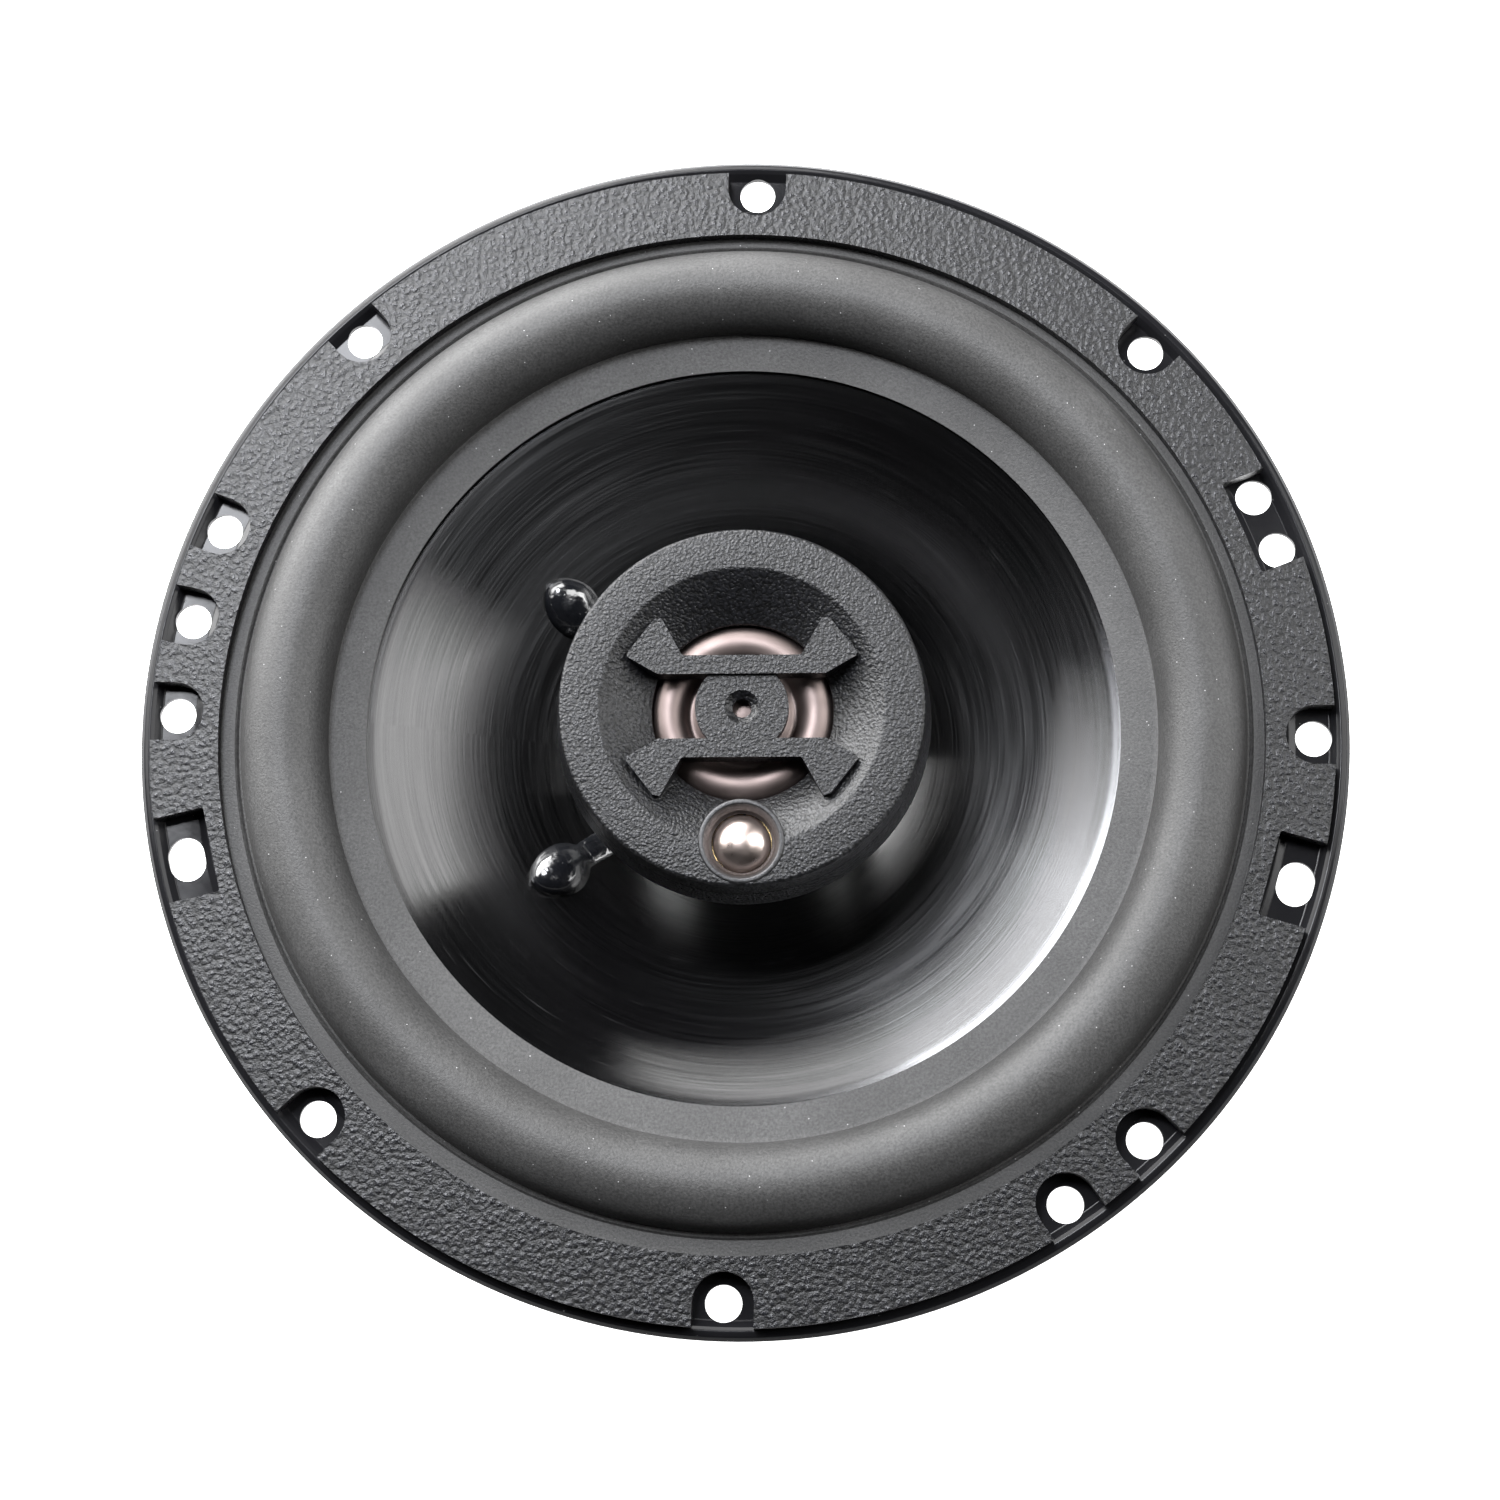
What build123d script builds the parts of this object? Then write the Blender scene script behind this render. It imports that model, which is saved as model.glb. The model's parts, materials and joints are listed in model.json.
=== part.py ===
"""A 165 mm three-way coaxial car speaker, built from the separate pieces of the real driver.

Millimetres. The origin is on the speaker's axis, in the plane of the flange's rear (mounting) face.
+Z points out of the cone, and the magnet hangs below in -Z. The terminals are at the -X side.
"""

import os
from math import atan2, cos, radians, sin, tan

from build123d import *

# ---- Driving dimensions -------------------------------------------------------------------------
FLANGE_R = 84.0
SHEET = 1.2  # steel thickness of the basket
BOLT_R = 79.0  # all fixing holes lie on this circle
BOLT_HOLE_R = 2.5
ROUND_HOLES = (0, 20, 26, 45, 90, 135, 160, 170, 180, 225, 270, 305, 315)  # degrees
DOUBLE_HOLE = 23  # the two holes either side of this angle share one notch in the gasket
SLOT_HOLES = (195, 345)  # degrees
SLOT_LENGTH = 6.2
MOUTH_R = 70.5  # where the basket's wall meets the flange
BASKET_FLOOR = -36.0  # underside of the basket's bottom plate
SHELF = -28.6  # underside of the spider shelf
SHELF_IN_R, SHELF_OUT_R = 39.0, 47.5
ARM_TOP_R, ARM_TOP_Z = 63.5, -12.6
WINDOW_ANGLES = (45, 135, 225, 315)  # degrees
WINDOW_SPAN = 52  # degrees
RIVET_CIRCLE_R, RIVET_R, RIVET_HEAD_R = 28.0, 2.0, 3.2

GASKET_IN_R, GASKET_OUT_R, GASKET_H = 72.4, 81.9, 2.5
GASKET_SHIFT = (-0.25, -0.5)  # the ring is glued on slightly off centre
NOTCH_R = 4.15
NOTCH_ROOT_R = 75.0
SLOT_NOTCH, DOUBLE_NOTCH = 12.1, 13.9

ROLL_IN_R, ROLL_OUT_R, ROLL_TOP = 57.4, 70.0, 7.5
ROLL_FOOT_Z = 0.6
LIP_IN_R, LIP_IN_Z, LIP_OUT_R, RUBBER = 52.6, -0.1, 74.0, 0.6

CONE_T = 0.6
CONE_RIM_R, CONE_NECK_R, CONE_NECK_Z = 57.0, 14.4, -20.6
CONE_MID_R, CONE_MID_Z = 31.5, -10.3
GLUE_GAP = 0.08  # stands in for a film of glue between a moving and a fixed piece

FORMER_R, FORMER_T, WINDING_T = 12.75, 0.25, 0.45
FORMER_TOP, WINDING_H = -19.5, 10.0

TOP_PLATE_R, TOP_PLATE_T = 35.0, 5.0
MAGNET_R, MAGNET_BORE_R, MAGNET_T = 40.0, 18.0, 13.0
BACK_PLATE_R, BACK_PLATE_T = 36.0, 4.5
POLE_R, POLE_TOP, GAP_R = 12.3, -35.5, 14.0
NUT_RECESS_R, NUT_RECESS_H = 8.2, 8.5
BOOT_SIDE, BOOT_FLOOR_T, BOOT_TOP, BOOT_HOLE_R = 2.2, 2.5, -43.5, 9.5

POST_R, POST_BORE_R, POST_TOP, POST_BOTTOM = 4.0, 2.5, -0.5, -54.6
SHOULDER_R, SHOULDER_H = 7.5, 2.0
WASHER_R, WASHER_T = 7.4, 0.8
NUT_FLATS, NUT_H = 13.0, 3.2

POD_CENTRE = (0.5, 0.1)  # the pod sits a little off the speaker's axis
POD_TURN = 1.6  # degrees that it is turned on its post
POD_R, POD_BASE_R, POD_TOP, POD_SPLIT, POD_FLOOR = 24.86, 25.8, 13.4, 9.0, 1.6
POD_WALL = 1.5
DISH_R, PORT_R, PORT_Z = 19.35, 12.4, 9.4
BAR_TOP, BAR_BOTTOM, WING_R = 13.1, 10.1, 17.0
DISC_R, DISC_TOP, DISC_BOTTOM = 6.35, 12.5, 10.5
DISC_HOLE_R, DISC_SINK_R = 1.3, 2.3

DIAPHRAGM_T, DIAPHRAGM_R, DIAPHRAGM_Z = 0.12, 13.6, 7.8
TWEETER_COIL_R = 6.6
POT_R, POT_BOTTOM = 9.6, 4.5
TWEETER_MAGNET_R, TWEETER_PLATE_R = 5.4, 6.1

SUPER_Y, SUPER_R = -18.7, 5.8
DOME_R = 3.95

BOARD_W, BOARD_H, BOARD_T = 30.0, 17.0, 1.6
TAB_X, TAB_T, TAB_ROOT, BLADE_Y, BLADE_TOP = 6.6, 0.8, 1.5, 7.2, 10.0
WIDE_TAB, NARROW_TAB = 6.35, 4.75
TAB_RIVET_Y, TAB_RIVET_R = 4.6, 0.9
BOARD_RIVET_Y, BOARD_RIVET_R = 3.6, 1.6
CAPACITOR_R, CAPACITOR_L, CAPACITOR_Y = 4.2, 13.0, -3.9

WIRE_R, WIRE_GAP = 0.6, 0.85  # tweeter wires: radius, and half the distance between the two
LEAD_R = 0.6
EYELET_R, EYELET_H, EYELET_TOP, EYELET_R_FROM_AXIS = 0.9, 3.4, 1.45, 31.0
UPPER_EYELET, LOWER_EYELET = 142.5, 216.5  # degrees

# ---- Levels and planes that follow from them ------------------------------------------------------
FLOOR_TOP = BASKET_FLOOR + SHEET
SHELF_TOP = SHELF + SHEET
PLATE_BOTTOM = BASKET_FLOOR - TOP_PLATE_T
MAGNET_BOTTOM = PLATE_BOTTOM - MAGNET_T
BACK = MAGNET_BOTTOM - BACK_PLATE_T
BOOT_BOTTOM = BACK - BOOT_FLOOR_T
BOOT_R = MAGNET_R + BOOT_SIDE
NUT_SEAT = BACK + NUT_RECESS_H
FORMER_OUT_R = FORMER_R + FORMER_T
WINDING_MID = BASKET_FLOOR - TOP_PLATE_T / 2

pod_x = (cos(radians(POD_TURN)), sin(radians(POD_TURN)), 0)
POD_PLANE = Plane(origin=(*POD_CENTRE, 0), x_dir=pod_x, z_dir=(0, 0, 1))
SUPER_CENTRE = POD_PLANE.from_local_coords((0, SUPER_Y, 0))
SUPER_XY = (SUPER_CENTRE.X, SUPER_CENTRE.Y)

# The outside of the arm at -X: x runs along +Y, y down the slope and z straight out of the arm.
arm_slope = atan2(ARM_TOP_Z - SHELF, ARM_TOP_R - SHELF_OUT_R)
ARM_PLANE = Plane(
    origin=(-(ARM_TOP_R + SHELF_OUT_R) / 2, 0, (ARM_TOP_Z + SHELF) / 2),
    x_dir=(0, 1, 0),
    z_dir=(-sin(arm_slope), 0, -cos(arm_slope)),
)


# ---- Shared helpers -----------------------------------------------------------------------------
def polar(radius, angle, z=0.0):
    """The point at this radius and angle in degrees about the axis."""
    return (radius * cos(radians(angle)), radius * sin(radians(angle)), z)


def disc(radius, low, high, bore=0.0, centre=(0, 0), mode=Mode.ADD):
    """Adds a cylinder, or a ring if bore is given, between two levels."""
    with BuildSketch(Plane.XY.offset(low)) as section:
        with Locations(centre):
            Circle(radius)
            if bore:
                Circle(bore, mode=Mode.SUBTRACT)
    extrude(section.sketch, amount=high - low, mode=mode)


def turned(points, centre=(0, 0), mode=Mode.ADD):
    """Adds a turned solid, whose section's points are (radius, height) about centre."""
    with BuildSketch(Plane(origin=(*centre, 0), x_dir=(1, 0, 0), z_dir=(0, -1, 0))) as section:
        with BuildLine():
            Polyline(*points, close=True)
        make_face()
    revolve(section.sketch, axis=Axis((*centre, 0), (0, 0, 1)), mode=mode)


def turned_sheet(outline, thickness, centre=(0, 0)):
    """Adds a turned sheet: outline() draws its upper side, and the thickness goes below it."""
    with BuildSketch(Plane(origin=(*centre, 0), x_dir=(1, 0, 0), z_dir=(0, -1, 0))) as section:
        with BuildLine():
            outline()
            offset(amount=thickness, side=Side.RIGHT)
        make_face()
    revolve(section.sketch, axis=Axis((*centre, 0), (0, 0, 1)))


def sector(angle, span, inner, outer):
    """Draws an annular sector, centred on angle, in the open sketch."""
    with BuildLine() as outline:
        rim = CenterArc((0, 0), outer, angle - span / 2, span)
        root = CenterArc((0, 0), inner, angle - span / 2, span)
        Line(rim @ 0, root @ 0)
        Line(rim @ 1, root @ 1)
    make_face(outline.edges())


def wire(points, radius, radii):
    """Adds a round wire along straight runs joined by tangent arcs."""
    with BuildLine() as path:
        FilletPolyline(*points, radius=radii)
    with BuildSketch(Plane(origin=path.line @ 0, z_dir=path.line % 0)) as section:
        Circle(radius)
    sweep(section.sketch, path=path.line)


def on_arm(x, y, z):
    """A point given on the arm's plane, as a plain tuple in the speaker's frame."""
    return tuple(ARM_PLANE.from_local_coords((x, y, z)))


# ---- Basket: one stamping from the flange down to the plate under the spider -----------------------
RIM_FOOT_R, RIM_H = 82.5, 1.8


def basket_outline():
    points = [
        (RIM_FOOT_R, SHEET),
        (MOUTH_R - SHEET, SHEET),
        (MOUTH_R - 2.2, -11.0),
        (ARM_TOP_R - SHEET * sin(arm_slope), ARM_TOP_Z + SHEET * cos(arm_slope)),
        (SHELF_OUT_R - SHEET * tan(arm_slope / 2), SHELF_TOP),
        (SHELF_IN_R - SHEET, SHELF_TOP),
        (SHELF_IN_R - 3.7, FLOOR_TOP),
        (16.5, FLOOR_TOP),
    ]
    FilletPolyline(*reversed(points), radius=0.9)


with BuildPart() as basket:
    turned_sheet(basket_outline, SHEET)
    turned(
        [
            (RIM_FOOT_R - 0.2, 0),
            (FLANGE_R - 0.4, 0),
            (FLANGE_R, 0.5),
            (FLANGE_R, 1.2),
            (FLANGE_R - 0.35, 1.65),
            (FLANGE_R - 0.8, RIM_H),
            (RIM_FOOT_R + 0.3, RIM_H),
            (RIM_FOOT_R, SHEET),
            (RIM_FOOT_R - 0.2, SHEET),
        ]
    )
    with BuildSketch(Plane.XY.offset(SHELF - 5)) as windows:
        for angle in WINDOW_ANGLES:
            sector(angle, WINDOW_SPAN, SHELF_OUT_R + 1.6, ARM_TOP_R - 1.4)
        fillet(windows.vertices(), radius=3.5)
    extrude(amount=26, mode=Mode.SUBTRACT)
    for vent in range(8):  # vents in the wall below the spider shelf
        vent_angle = 22.5 + 45 * vent
        with BuildSketch(Plane(origin=polar(33, vent_angle, -32.2), z_dir=polar(1, vent_angle))):
            RectangleRounded(3.4, 11, 1.5)
        extrude(amount=8, mode=Mode.SUBTRACT)
    with BuildSketch(Plane.XY.offset(-1)):
        for angle in ROUND_HOLES:
            with Locations(polar(BOLT_R, angle)):
                Circle(BOLT_HOLE_R)
        for angle in SLOT_HOLES:
            with Locations(Location(polar(BOLT_R, angle), (0, 0, angle + 90))):
                SlotOverall(SLOT_LENGTH, 2 * BOLT_HOLE_R)
    extrude(amount=4, mode=Mode.SUBTRACT)
    with BuildSketch(Plane.XY.offset(SHEET - 0.4)):  # pressed seats around the slotted holes
        for angle in SLOT_HOLES:
            with Locations(Location(polar(BOLT_R - 0.4, angle), (0, 0, angle + 90))):
                RectangleRounded(9.0, 6.4, 0.6)
    extrude(amount=1, mode=Mode.SUBTRACT)
    turned([(81.35, SHEET + 0.1), (81.55, SHEET - 0.15), (81.75, SHEET + 0.1)], mode=Mode.SUBTRACT)
    with BuildSketch(Plane.XY.offset(BASKET_FLOOR - 1)):
        with PolarLocations(RIVET_CIRCLE_R, 4):
            Circle(RIVET_R)
    extrude(amount=3, mode=Mode.SUBTRACT)
    with BuildSketch(ARM_PLANE.offset(1)):  # holes for the board's rivet and the two prongs
        with Locations((0, BOARD_RIVET_Y)):
            Circle(BOARD_RIVET_R)
        with Locations((-TAB_X, TAB_ROOT), (TAB_X, TAB_ROOT)):
            RectangleRounded(4.4, 3.4, 0.8)
    extrude(amount=-4, mode=Mode.SUBTRACT)

with BuildPart() as basket_rivets:
    for angle in range(0, 360, 90):
        x, y, _ = polar(RIVET_CIRCLE_R, angle)
        disc(RIVET_R, PLATE_BOTTOM, FLOOR_TOP, centre=(x, y))
        disc(RIVET_HEAD_R, FLOOR_TOP, FLOOR_TOP + 0.9, centre=(x, y))
    heads = basket_rivets.edges().filter_by(GeomType.CIRCLE).group_by(Axis.Z)[-1]
    fillet(heads, radius=0.6)

# ---- Gasket ring: a grained moulding, notched around every fixing hole ------------------------------
with BuildPart() as gasket_ring:
    with BuildSketch(Plane.XY.offset(SHEET)) as gasket_outline:
        with Locations(GASKET_SHIFT):
            Circle(GASKET_OUT_R)
            Circle(GASKET_IN_R, mode=Mode.SUBTRACT)
        for angle in ROUND_HOLES:
            if abs(angle - DOUBLE_HOLE) > 5:
                with Locations(Location(polar(BOLT_R, angle), (0, 0, angle))):
                    Circle(NOTCH_R, mode=Mode.SUBTRACT)
                    Rectangle(9, 2 * NOTCH_R, align=(Align.MIN, Align.CENTER), mode=Mode.SUBTRACT)
        square_notches = [(angle, SLOT_NOTCH) for angle in SLOT_HOLES] + [(DOUBLE_HOLE, DOUBLE_NOTCH)]
        for angle, width in square_notches:
            with Locations(Location(polar(NOTCH_ROOT_R, angle), (0, 0, angle))):
                Rectangle(14, width, align=(Align.MIN, Align.CENTER), mode=Mode.SUBTRACT)
        corners = [v for v in gasket_outline.vertices() if Vector(v.X, v.Y, 0).length > 80]
        fillet(corners, radius=0.9)
    extrude(amount=GASKET_H)
    chamfer(gasket_ring.faces().sort_by(Axis.Z)[-1].edges(), length=0.3)
    disc(LIP_OUT_R + 0.25, SHEET - 1, SHEET + RUBBER + 0.02, mode=Mode.SUBTRACT)


# ---- Surround, cone, voice coil and spider ----------------------------------------------------------
def surround_outline():
    roll_mid = (ROLL_IN_R + ROLL_OUT_R) / 2
    lip = Line((LIP_IN_R, LIP_IN_Z), (ROLL_IN_R, ROLL_FOOT_Z))
    roll = ThreePointArc(lip @ 1, (roll_mid, ROLL_TOP), (ROLL_OUT_R, SHEET + RUBBER))
    Line(roll @ 1, (LIP_OUT_R, SHEET + RUBBER))


with BuildPart() as surround:
    turned_sheet(surround_outline, RUBBER)

RIM_DROP = RUBBER + GLUE_GAP


def cone_outline():
    collar = Line((FORMER_OUT_R + 0.02, CONE_NECK_Z - 2.5), (FORMER_OUT_R + 0.02, CONE_NECK_Z - 0.6))
    foot = Line(collar @ 1, (CONE_NECK_R, CONE_NECK_Z))
    body = ThreePointArc(foot @ 1, (CONE_MID_R, CONE_MID_Z), (LIP_IN_R - 0.8, LIP_IN_Z - 0.12 - RIM_DROP))
    Line(body @ 1, (CONE_RIM_R, ROLL_FOOT_Z - 0.06 - RIM_DROP))


with BuildPart() as cone:
    turned_sheet(cone_outline, CONE_T)

with BuildPart() as voice_coil_former:
    disc(FORMER_OUT_R, WINDING_MID - WINDING_H / 2 - 1, FORMER_TOP, bore=FORMER_R)

with BuildPart() as voice_coil_winding:
    low = WINDING_MID - WINDING_H / 2
    disc(FORMER_OUT_R + WINDING_T, low, low + WINDING_H, bore=FORMER_OUT_R)

SPIDER_T, WAVE_PITCH, WAVE_H, WAVES = 0.4, 5.8, 1.5, 5


def spider_outline():
    flat_z = SHELF_TOP + SPIDER_T
    start_r = FORMER_OUT_R + GLUE_GAP + SPIDER_T * 1.05
    collar = Line((start_r, flat_z + 1.6), (start_r + 0.4, flat_z))
    end = collar @ 1
    for wave in range(WAVES):
        height = WAVE_H if wave % 2 == 0 else -WAVE_H
        crest = (end.X + WAVE_PITCH / 2, flat_z + height)
        arc = ThreePointArc(end, crest, (end.X + WAVE_PITCH, flat_z))
        end = arc @ 1
    Line(end, (SHELF_OUT_R - 1.2, flat_z))


with BuildPart() as spider:
    turned_sheet(spider_outline, SPIDER_T)


with BuildPart() as below_cone:  # a shaping tool: all that lies behind the cone's front side
    with BuildSketch(Plane.XZ):
        with BuildLine():
            front = ThreePointArc(
                (CONE_NECK_R, CONE_NECK_Z),
                (CONE_MID_R, CONE_MID_Z),
                (LIP_IN_R - 0.8, LIP_IN_Z - 0.12 - RIM_DROP),
            )
            rim_corner, low_corner = (ROLL_OUT_R, 0), (ROLL_OUT_R, SHELF)
            Polyline(front @ 1, rim_corner, low_corner, (0, SHELF), (0, CONE_NECK_Z), front @ 0)
        make_face()
    revolve(axis=Axis.Z)

cone_arc = front.edge()


def cone_point(radius, angle, lift=0.0):
    """A point lifted above the cone's front side."""
    centre = cone_arc.arc_center
    height = centre.Y + (cone_arc.radius**2 - (radius - centre.X) ** 2) ** 0.5
    return polar(radius, angle, height + lift)


# ---- Leads of the voice coil ------------------------------------------------------------------------
DAB_R, DAB_NOSE_R, TAIL_R = 2.9, 2.1, 0.9


def glue_dab(angle, tail_r):
    """A drop of glue over an eyelet, with a tail over the coil's wire down to the neck."""
    with Locations(cone_point(EYELET_R_FROM_AXIS + 0.8, angle)):
        Sphere(DAB_R)
    with Locations(cone_point(EYELET_R_FROM_AXIS - 2.0, angle)):
        Sphere(DAB_NOSE_R)
    with BuildLine() as tail:
        ThreePointArc(
            cone_point(EYELET_R_FROM_AXIS, angle),
            cone_point((EYELET_R_FROM_AXIS + CONE_NECK_R) / 2, angle),
            cone_point(CONE_NECK_R + 1.5, angle),
        )
    with BuildSketch(Plane(origin=tail.line @ 0, z_dir=tail.line % 0)) as section:
        Circle(tail_r)
    sweep(section.sketch, path=tail.line)
    add(below_cone.part, mode=Mode.SUBTRACT)


with BuildPart() as lead_dab_upper:
    glue_dab(UPPER_EYELET, TAIL_R)

with BuildPart() as lead_dab_lower:
    glue_dab(LOWER_EYELET, TAIL_R * 1.5)

with BuildPart() as lead_eyelets:  # the part of each eyelet that shows behind the cone
    for angle in (UPPER_EYELET, LOWER_EYELET):
        x, y, top = cone_point(EYELET_R_FROM_AXIS, angle)
        disc(EYELET_R, top - EYELET_H, top - EYELET_TOP, bore=0.5, centre=(x, y))
        disc(EYELET_R + 0.6, top - EYELET_H, top - EYELET_H + 0.5, bore=0.5, centre=(x, y))

LEAD_RADII = [3.0, 4.0, 3.0]


def tinsel_lead(side, angle):
    """The limp braided lead from a tab's prong, through slack, up to the eyelet's underside."""
    x, y, top = cone_point(EYELET_R_FROM_AXIS, angle, -EYELET_H - LEAD_R)
    start = on_arm(side * TAB_X, TAB_ROOT + TAB_T / 2, -4.6)
    route = [
        start,
        (start[0] + 4.5, start[1] * 1.05, start[2] + 3.0),
        (start[0] + 12.0, start[1] * 1.5, start[2] + 0.5),
        (x - 5.0, y * 0.93, top - 3.6),
        (x, y, top),
    ]
    wire(route, LEAD_R, LEAD_RADII)


with BuildPart() as tinsel_lead_positive:
    tinsel_lead(1, UPPER_EYELET)

with BuildPart() as tinsel_lead_negative:
    tinsel_lead(-1, LOWER_EYELET)

# ---- Motor: top plate, ring magnet, yoke with its pole, and the rubber boot -------------------------
with BuildPart() as top_plate:
    disc(TOP_PLATE_R, PLATE_BOTTOM, BASKET_FLOOR, bore=GAP_R)
    with BuildSketch(Plane.XY.offset(PLATE_BOTTOM)):
        with PolarLocations(RIVET_CIRCLE_R, 4):
            Circle(RIVET_R)
    extrude(amount=TOP_PLATE_T, mode=Mode.SUBTRACT)
    outer = top_plate.edges().filter_by(GeomType.CIRCLE).filter_by(lambda e: e.radius > GAP_R + 5)
    chamfer(outer, length=0.5)

with BuildPart() as ring_magnet:
    disc(MAGNET_R, MAGNET_BOTTOM, PLATE_BOTTOM, bore=MAGNET_BORE_R)
    chamfer(ring_magnet.edges().filter_by(GeomType.CIRCLE), length=0.8)

with BuildPart() as yoke:
    disc(BACK_PLATE_R, BACK, MAGNET_BOTTOM)
    disc(POLE_R, MAGNET_BOTTOM, POLE_TOP)
    chamfer(yoke.edges().filter_by(GeomType.CIRCLE).group_by(Axis.Z)[0], length=0.8)
    disc(POST_R, BACK - 1, POLE_TOP + 1, mode=Mode.SUBTRACT)
    disc(NUT_RECESS_R, BACK - 1, NUT_SEAT, mode=Mode.SUBTRACT)

WIRE_Z = BOOT_BOTTOM + 0.8  # level of the tweeter wires in the boot's groove
GROOVE_HALF_W = WIRE_GAP + WIRE_R + 0.25
GROOVE_FLOOR = BOOT_BOTTOM + 1.6
GROOVE_WALL = BOOT_R - 1.4
with BuildPart() as magnet_boot:
    turned(
        [
            (BOOT_HOLE_R, BOOT_BOTTOM),
            (BOOT_R - 2.4, BOOT_BOTTOM),
            (BOOT_R - 0.7, BOOT_BOTTOM + 0.7),
            (BOOT_R, BOOT_BOTTOM + 2.4),
            (BOOT_R, BOOT_TOP - 0.6),
            (BOOT_R - 0.6, BOOT_TOP),
            (MAGNET_R, BOOT_TOP),
            (MAGNET_R, MAGNET_BOTTOM),
            (BACK_PLATE_R, BACK),
            (BOOT_HOLE_R, BACK),
        ]
    )
    with BuildSketch(Plane.XZ.offset(-GROOVE_HALF_W)):  # groove for the tweeter's wires
        with BuildLine():
            Polyline(
                (0, BOOT_BOTTOM - 1),
                (-BOOT_R - 1, BOOT_BOTTOM - 1),
                (-BOOT_R - 1, BOOT_TOP + 1),
                (-GROOVE_WALL, BOOT_TOP + 1),
                (-GROOVE_WALL, MAGNET_BOTTOM - 1),
                (-BACK_PLATE_R, GROOVE_FLOOR),
                (0, GROOVE_FLOOR),
                close=True,
            )
        make_face()
    extrude(amount=2 * GROOVE_HALF_W, mode=Mode.SUBTRACT)
    groove_rings = 3  # moulded rings around the side
    for ring in range(groove_rings):
        level = MAGNET_BOTTOM + 2.5 + 2.5 * ring
        turned(
            [(BOOT_R + 0.1, level - 0.5), (BOOT_R - 0.4, level), (BOOT_R + 0.1, level + 0.5)],
            mode=Mode.SUBTRACT,
        )

# ---- Post that carries the pod, clamped through the pole --------------------------------------------
with BuildPart() as tweeter_post:
    disc(POST_R, POST_BOTTOM, POST_TOP)
    disc(SHOULDER_R, POLE_TOP, POLE_TOP + SHOULDER_H)
    disc(POST_BORE_R, POST_BOTTOM - 1, POST_TOP + 1, mode=Mode.SUBTRACT)
    rims = tweeter_post.edges().filter_by(GeomType.CIRCLE)
    chamfer(rims.group_by(Axis.Z)[0] + rims.group_by(Axis.Z)[-1], length=0.4)

with BuildPart() as post_washer:
    disc(WASHER_R, NUT_SEAT - WASHER_T, NUT_SEAT, bore=POST_R)

with BuildPart() as post_nut:
    with BuildSketch(Plane.XY.offset(NUT_SEAT - WASHER_T - NUT_H)):
        RegularPolygon(NUT_FLATS / 2, 6, major_radius=False)
        Circle(POST_R, mode=Mode.SUBTRACT)
    extrude(amount=NUT_H)

# ---- Pod: rear housing and front bezel with its two bars --------------------------------------------
NECK_R, NECK_BOTTOM = 7.0, -4.0
FLOOR_IN = POD_FLOOR + POD_WALL - 0.1
SEAT_IN_R, SEAT_OUT_R = 8.2, 9.6
with BuildPart() as pod_housing:
    turned(
        [
            (0, POD_FLOOR),
            (POD_BASE_R - 4.5, POD_FLOOR),
            (POD_BASE_R - 1.3, POD_FLOOR + 1.0),
            (POD_BASE_R, POD_FLOOR + 3.2),
            (POD_R + 0.25, POD_SPLIT),
            (POD_R - 1.3, POD_SPLIT),
            (POD_BASE_R - POD_WALL, POD_FLOOR + 3.4),
            (POD_BASE_R - 4.7, FLOOR_IN),
            (0, FLOOR_IN),
        ],
        POD_CENTRE,
    )
    disc(SEAT_OUT_R, FLOOR_IN, POT_BOTTOM, bore=SEAT_IN_R, centre=POD_CENTRE)
    disc(NECK_R, NECK_BOTTOM, POD_FLOOR)
    disc(POST_R, NECK_BOTTOM - 1, FLOOR_IN + 1, mode=Mode.SUBTRACT)
    with BuildSketch(Plane.XY.offset(FLOOR_IN)):  # the way out for the wires under the pot
        with Locations((-SEAT_OUT_R, 0)):
            Rectangle(8, 2 * GROOVE_HALF_W + 0.6)
    extrude(amount=5, mode=Mode.SUBTRACT)
    chamfer(pod_housing.edges().filter_by(GeomType.CIRCLE).group_by(Axis.Z)[0][-1:], length=0.5)


def bar_outline(side):
    """One winged bar, seen from the front: side is 1 for the upper and -1 for the lower one."""
    half = [(11.3, 4.6), (15.8, 7.3), (WING_R, 9.0), (12.4, 14.3), (10.9, 12.3), (8.1, 7.1)]
    right = [(x, side * y) for x, y in half]
    left = [(-x, side * y) for x, y in reversed(half)]
    Polyline(*right, *left, close=True)


with BuildPart() as bars:
    with BuildSketch(POD_PLANE.offset(BAR_BOTTOM)):
        for side in (1, -1):
            with BuildLine():
                bar_outline(side)
            make_face()
        Circle(WING_R, mode=Mode.INTERSECT)
    extrude(amount=BAR_TOP - BAR_BOTTOM)
    chamfer(bars.faces().group_by(Axis.Z)[-1].edges(), length=0.25)

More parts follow.
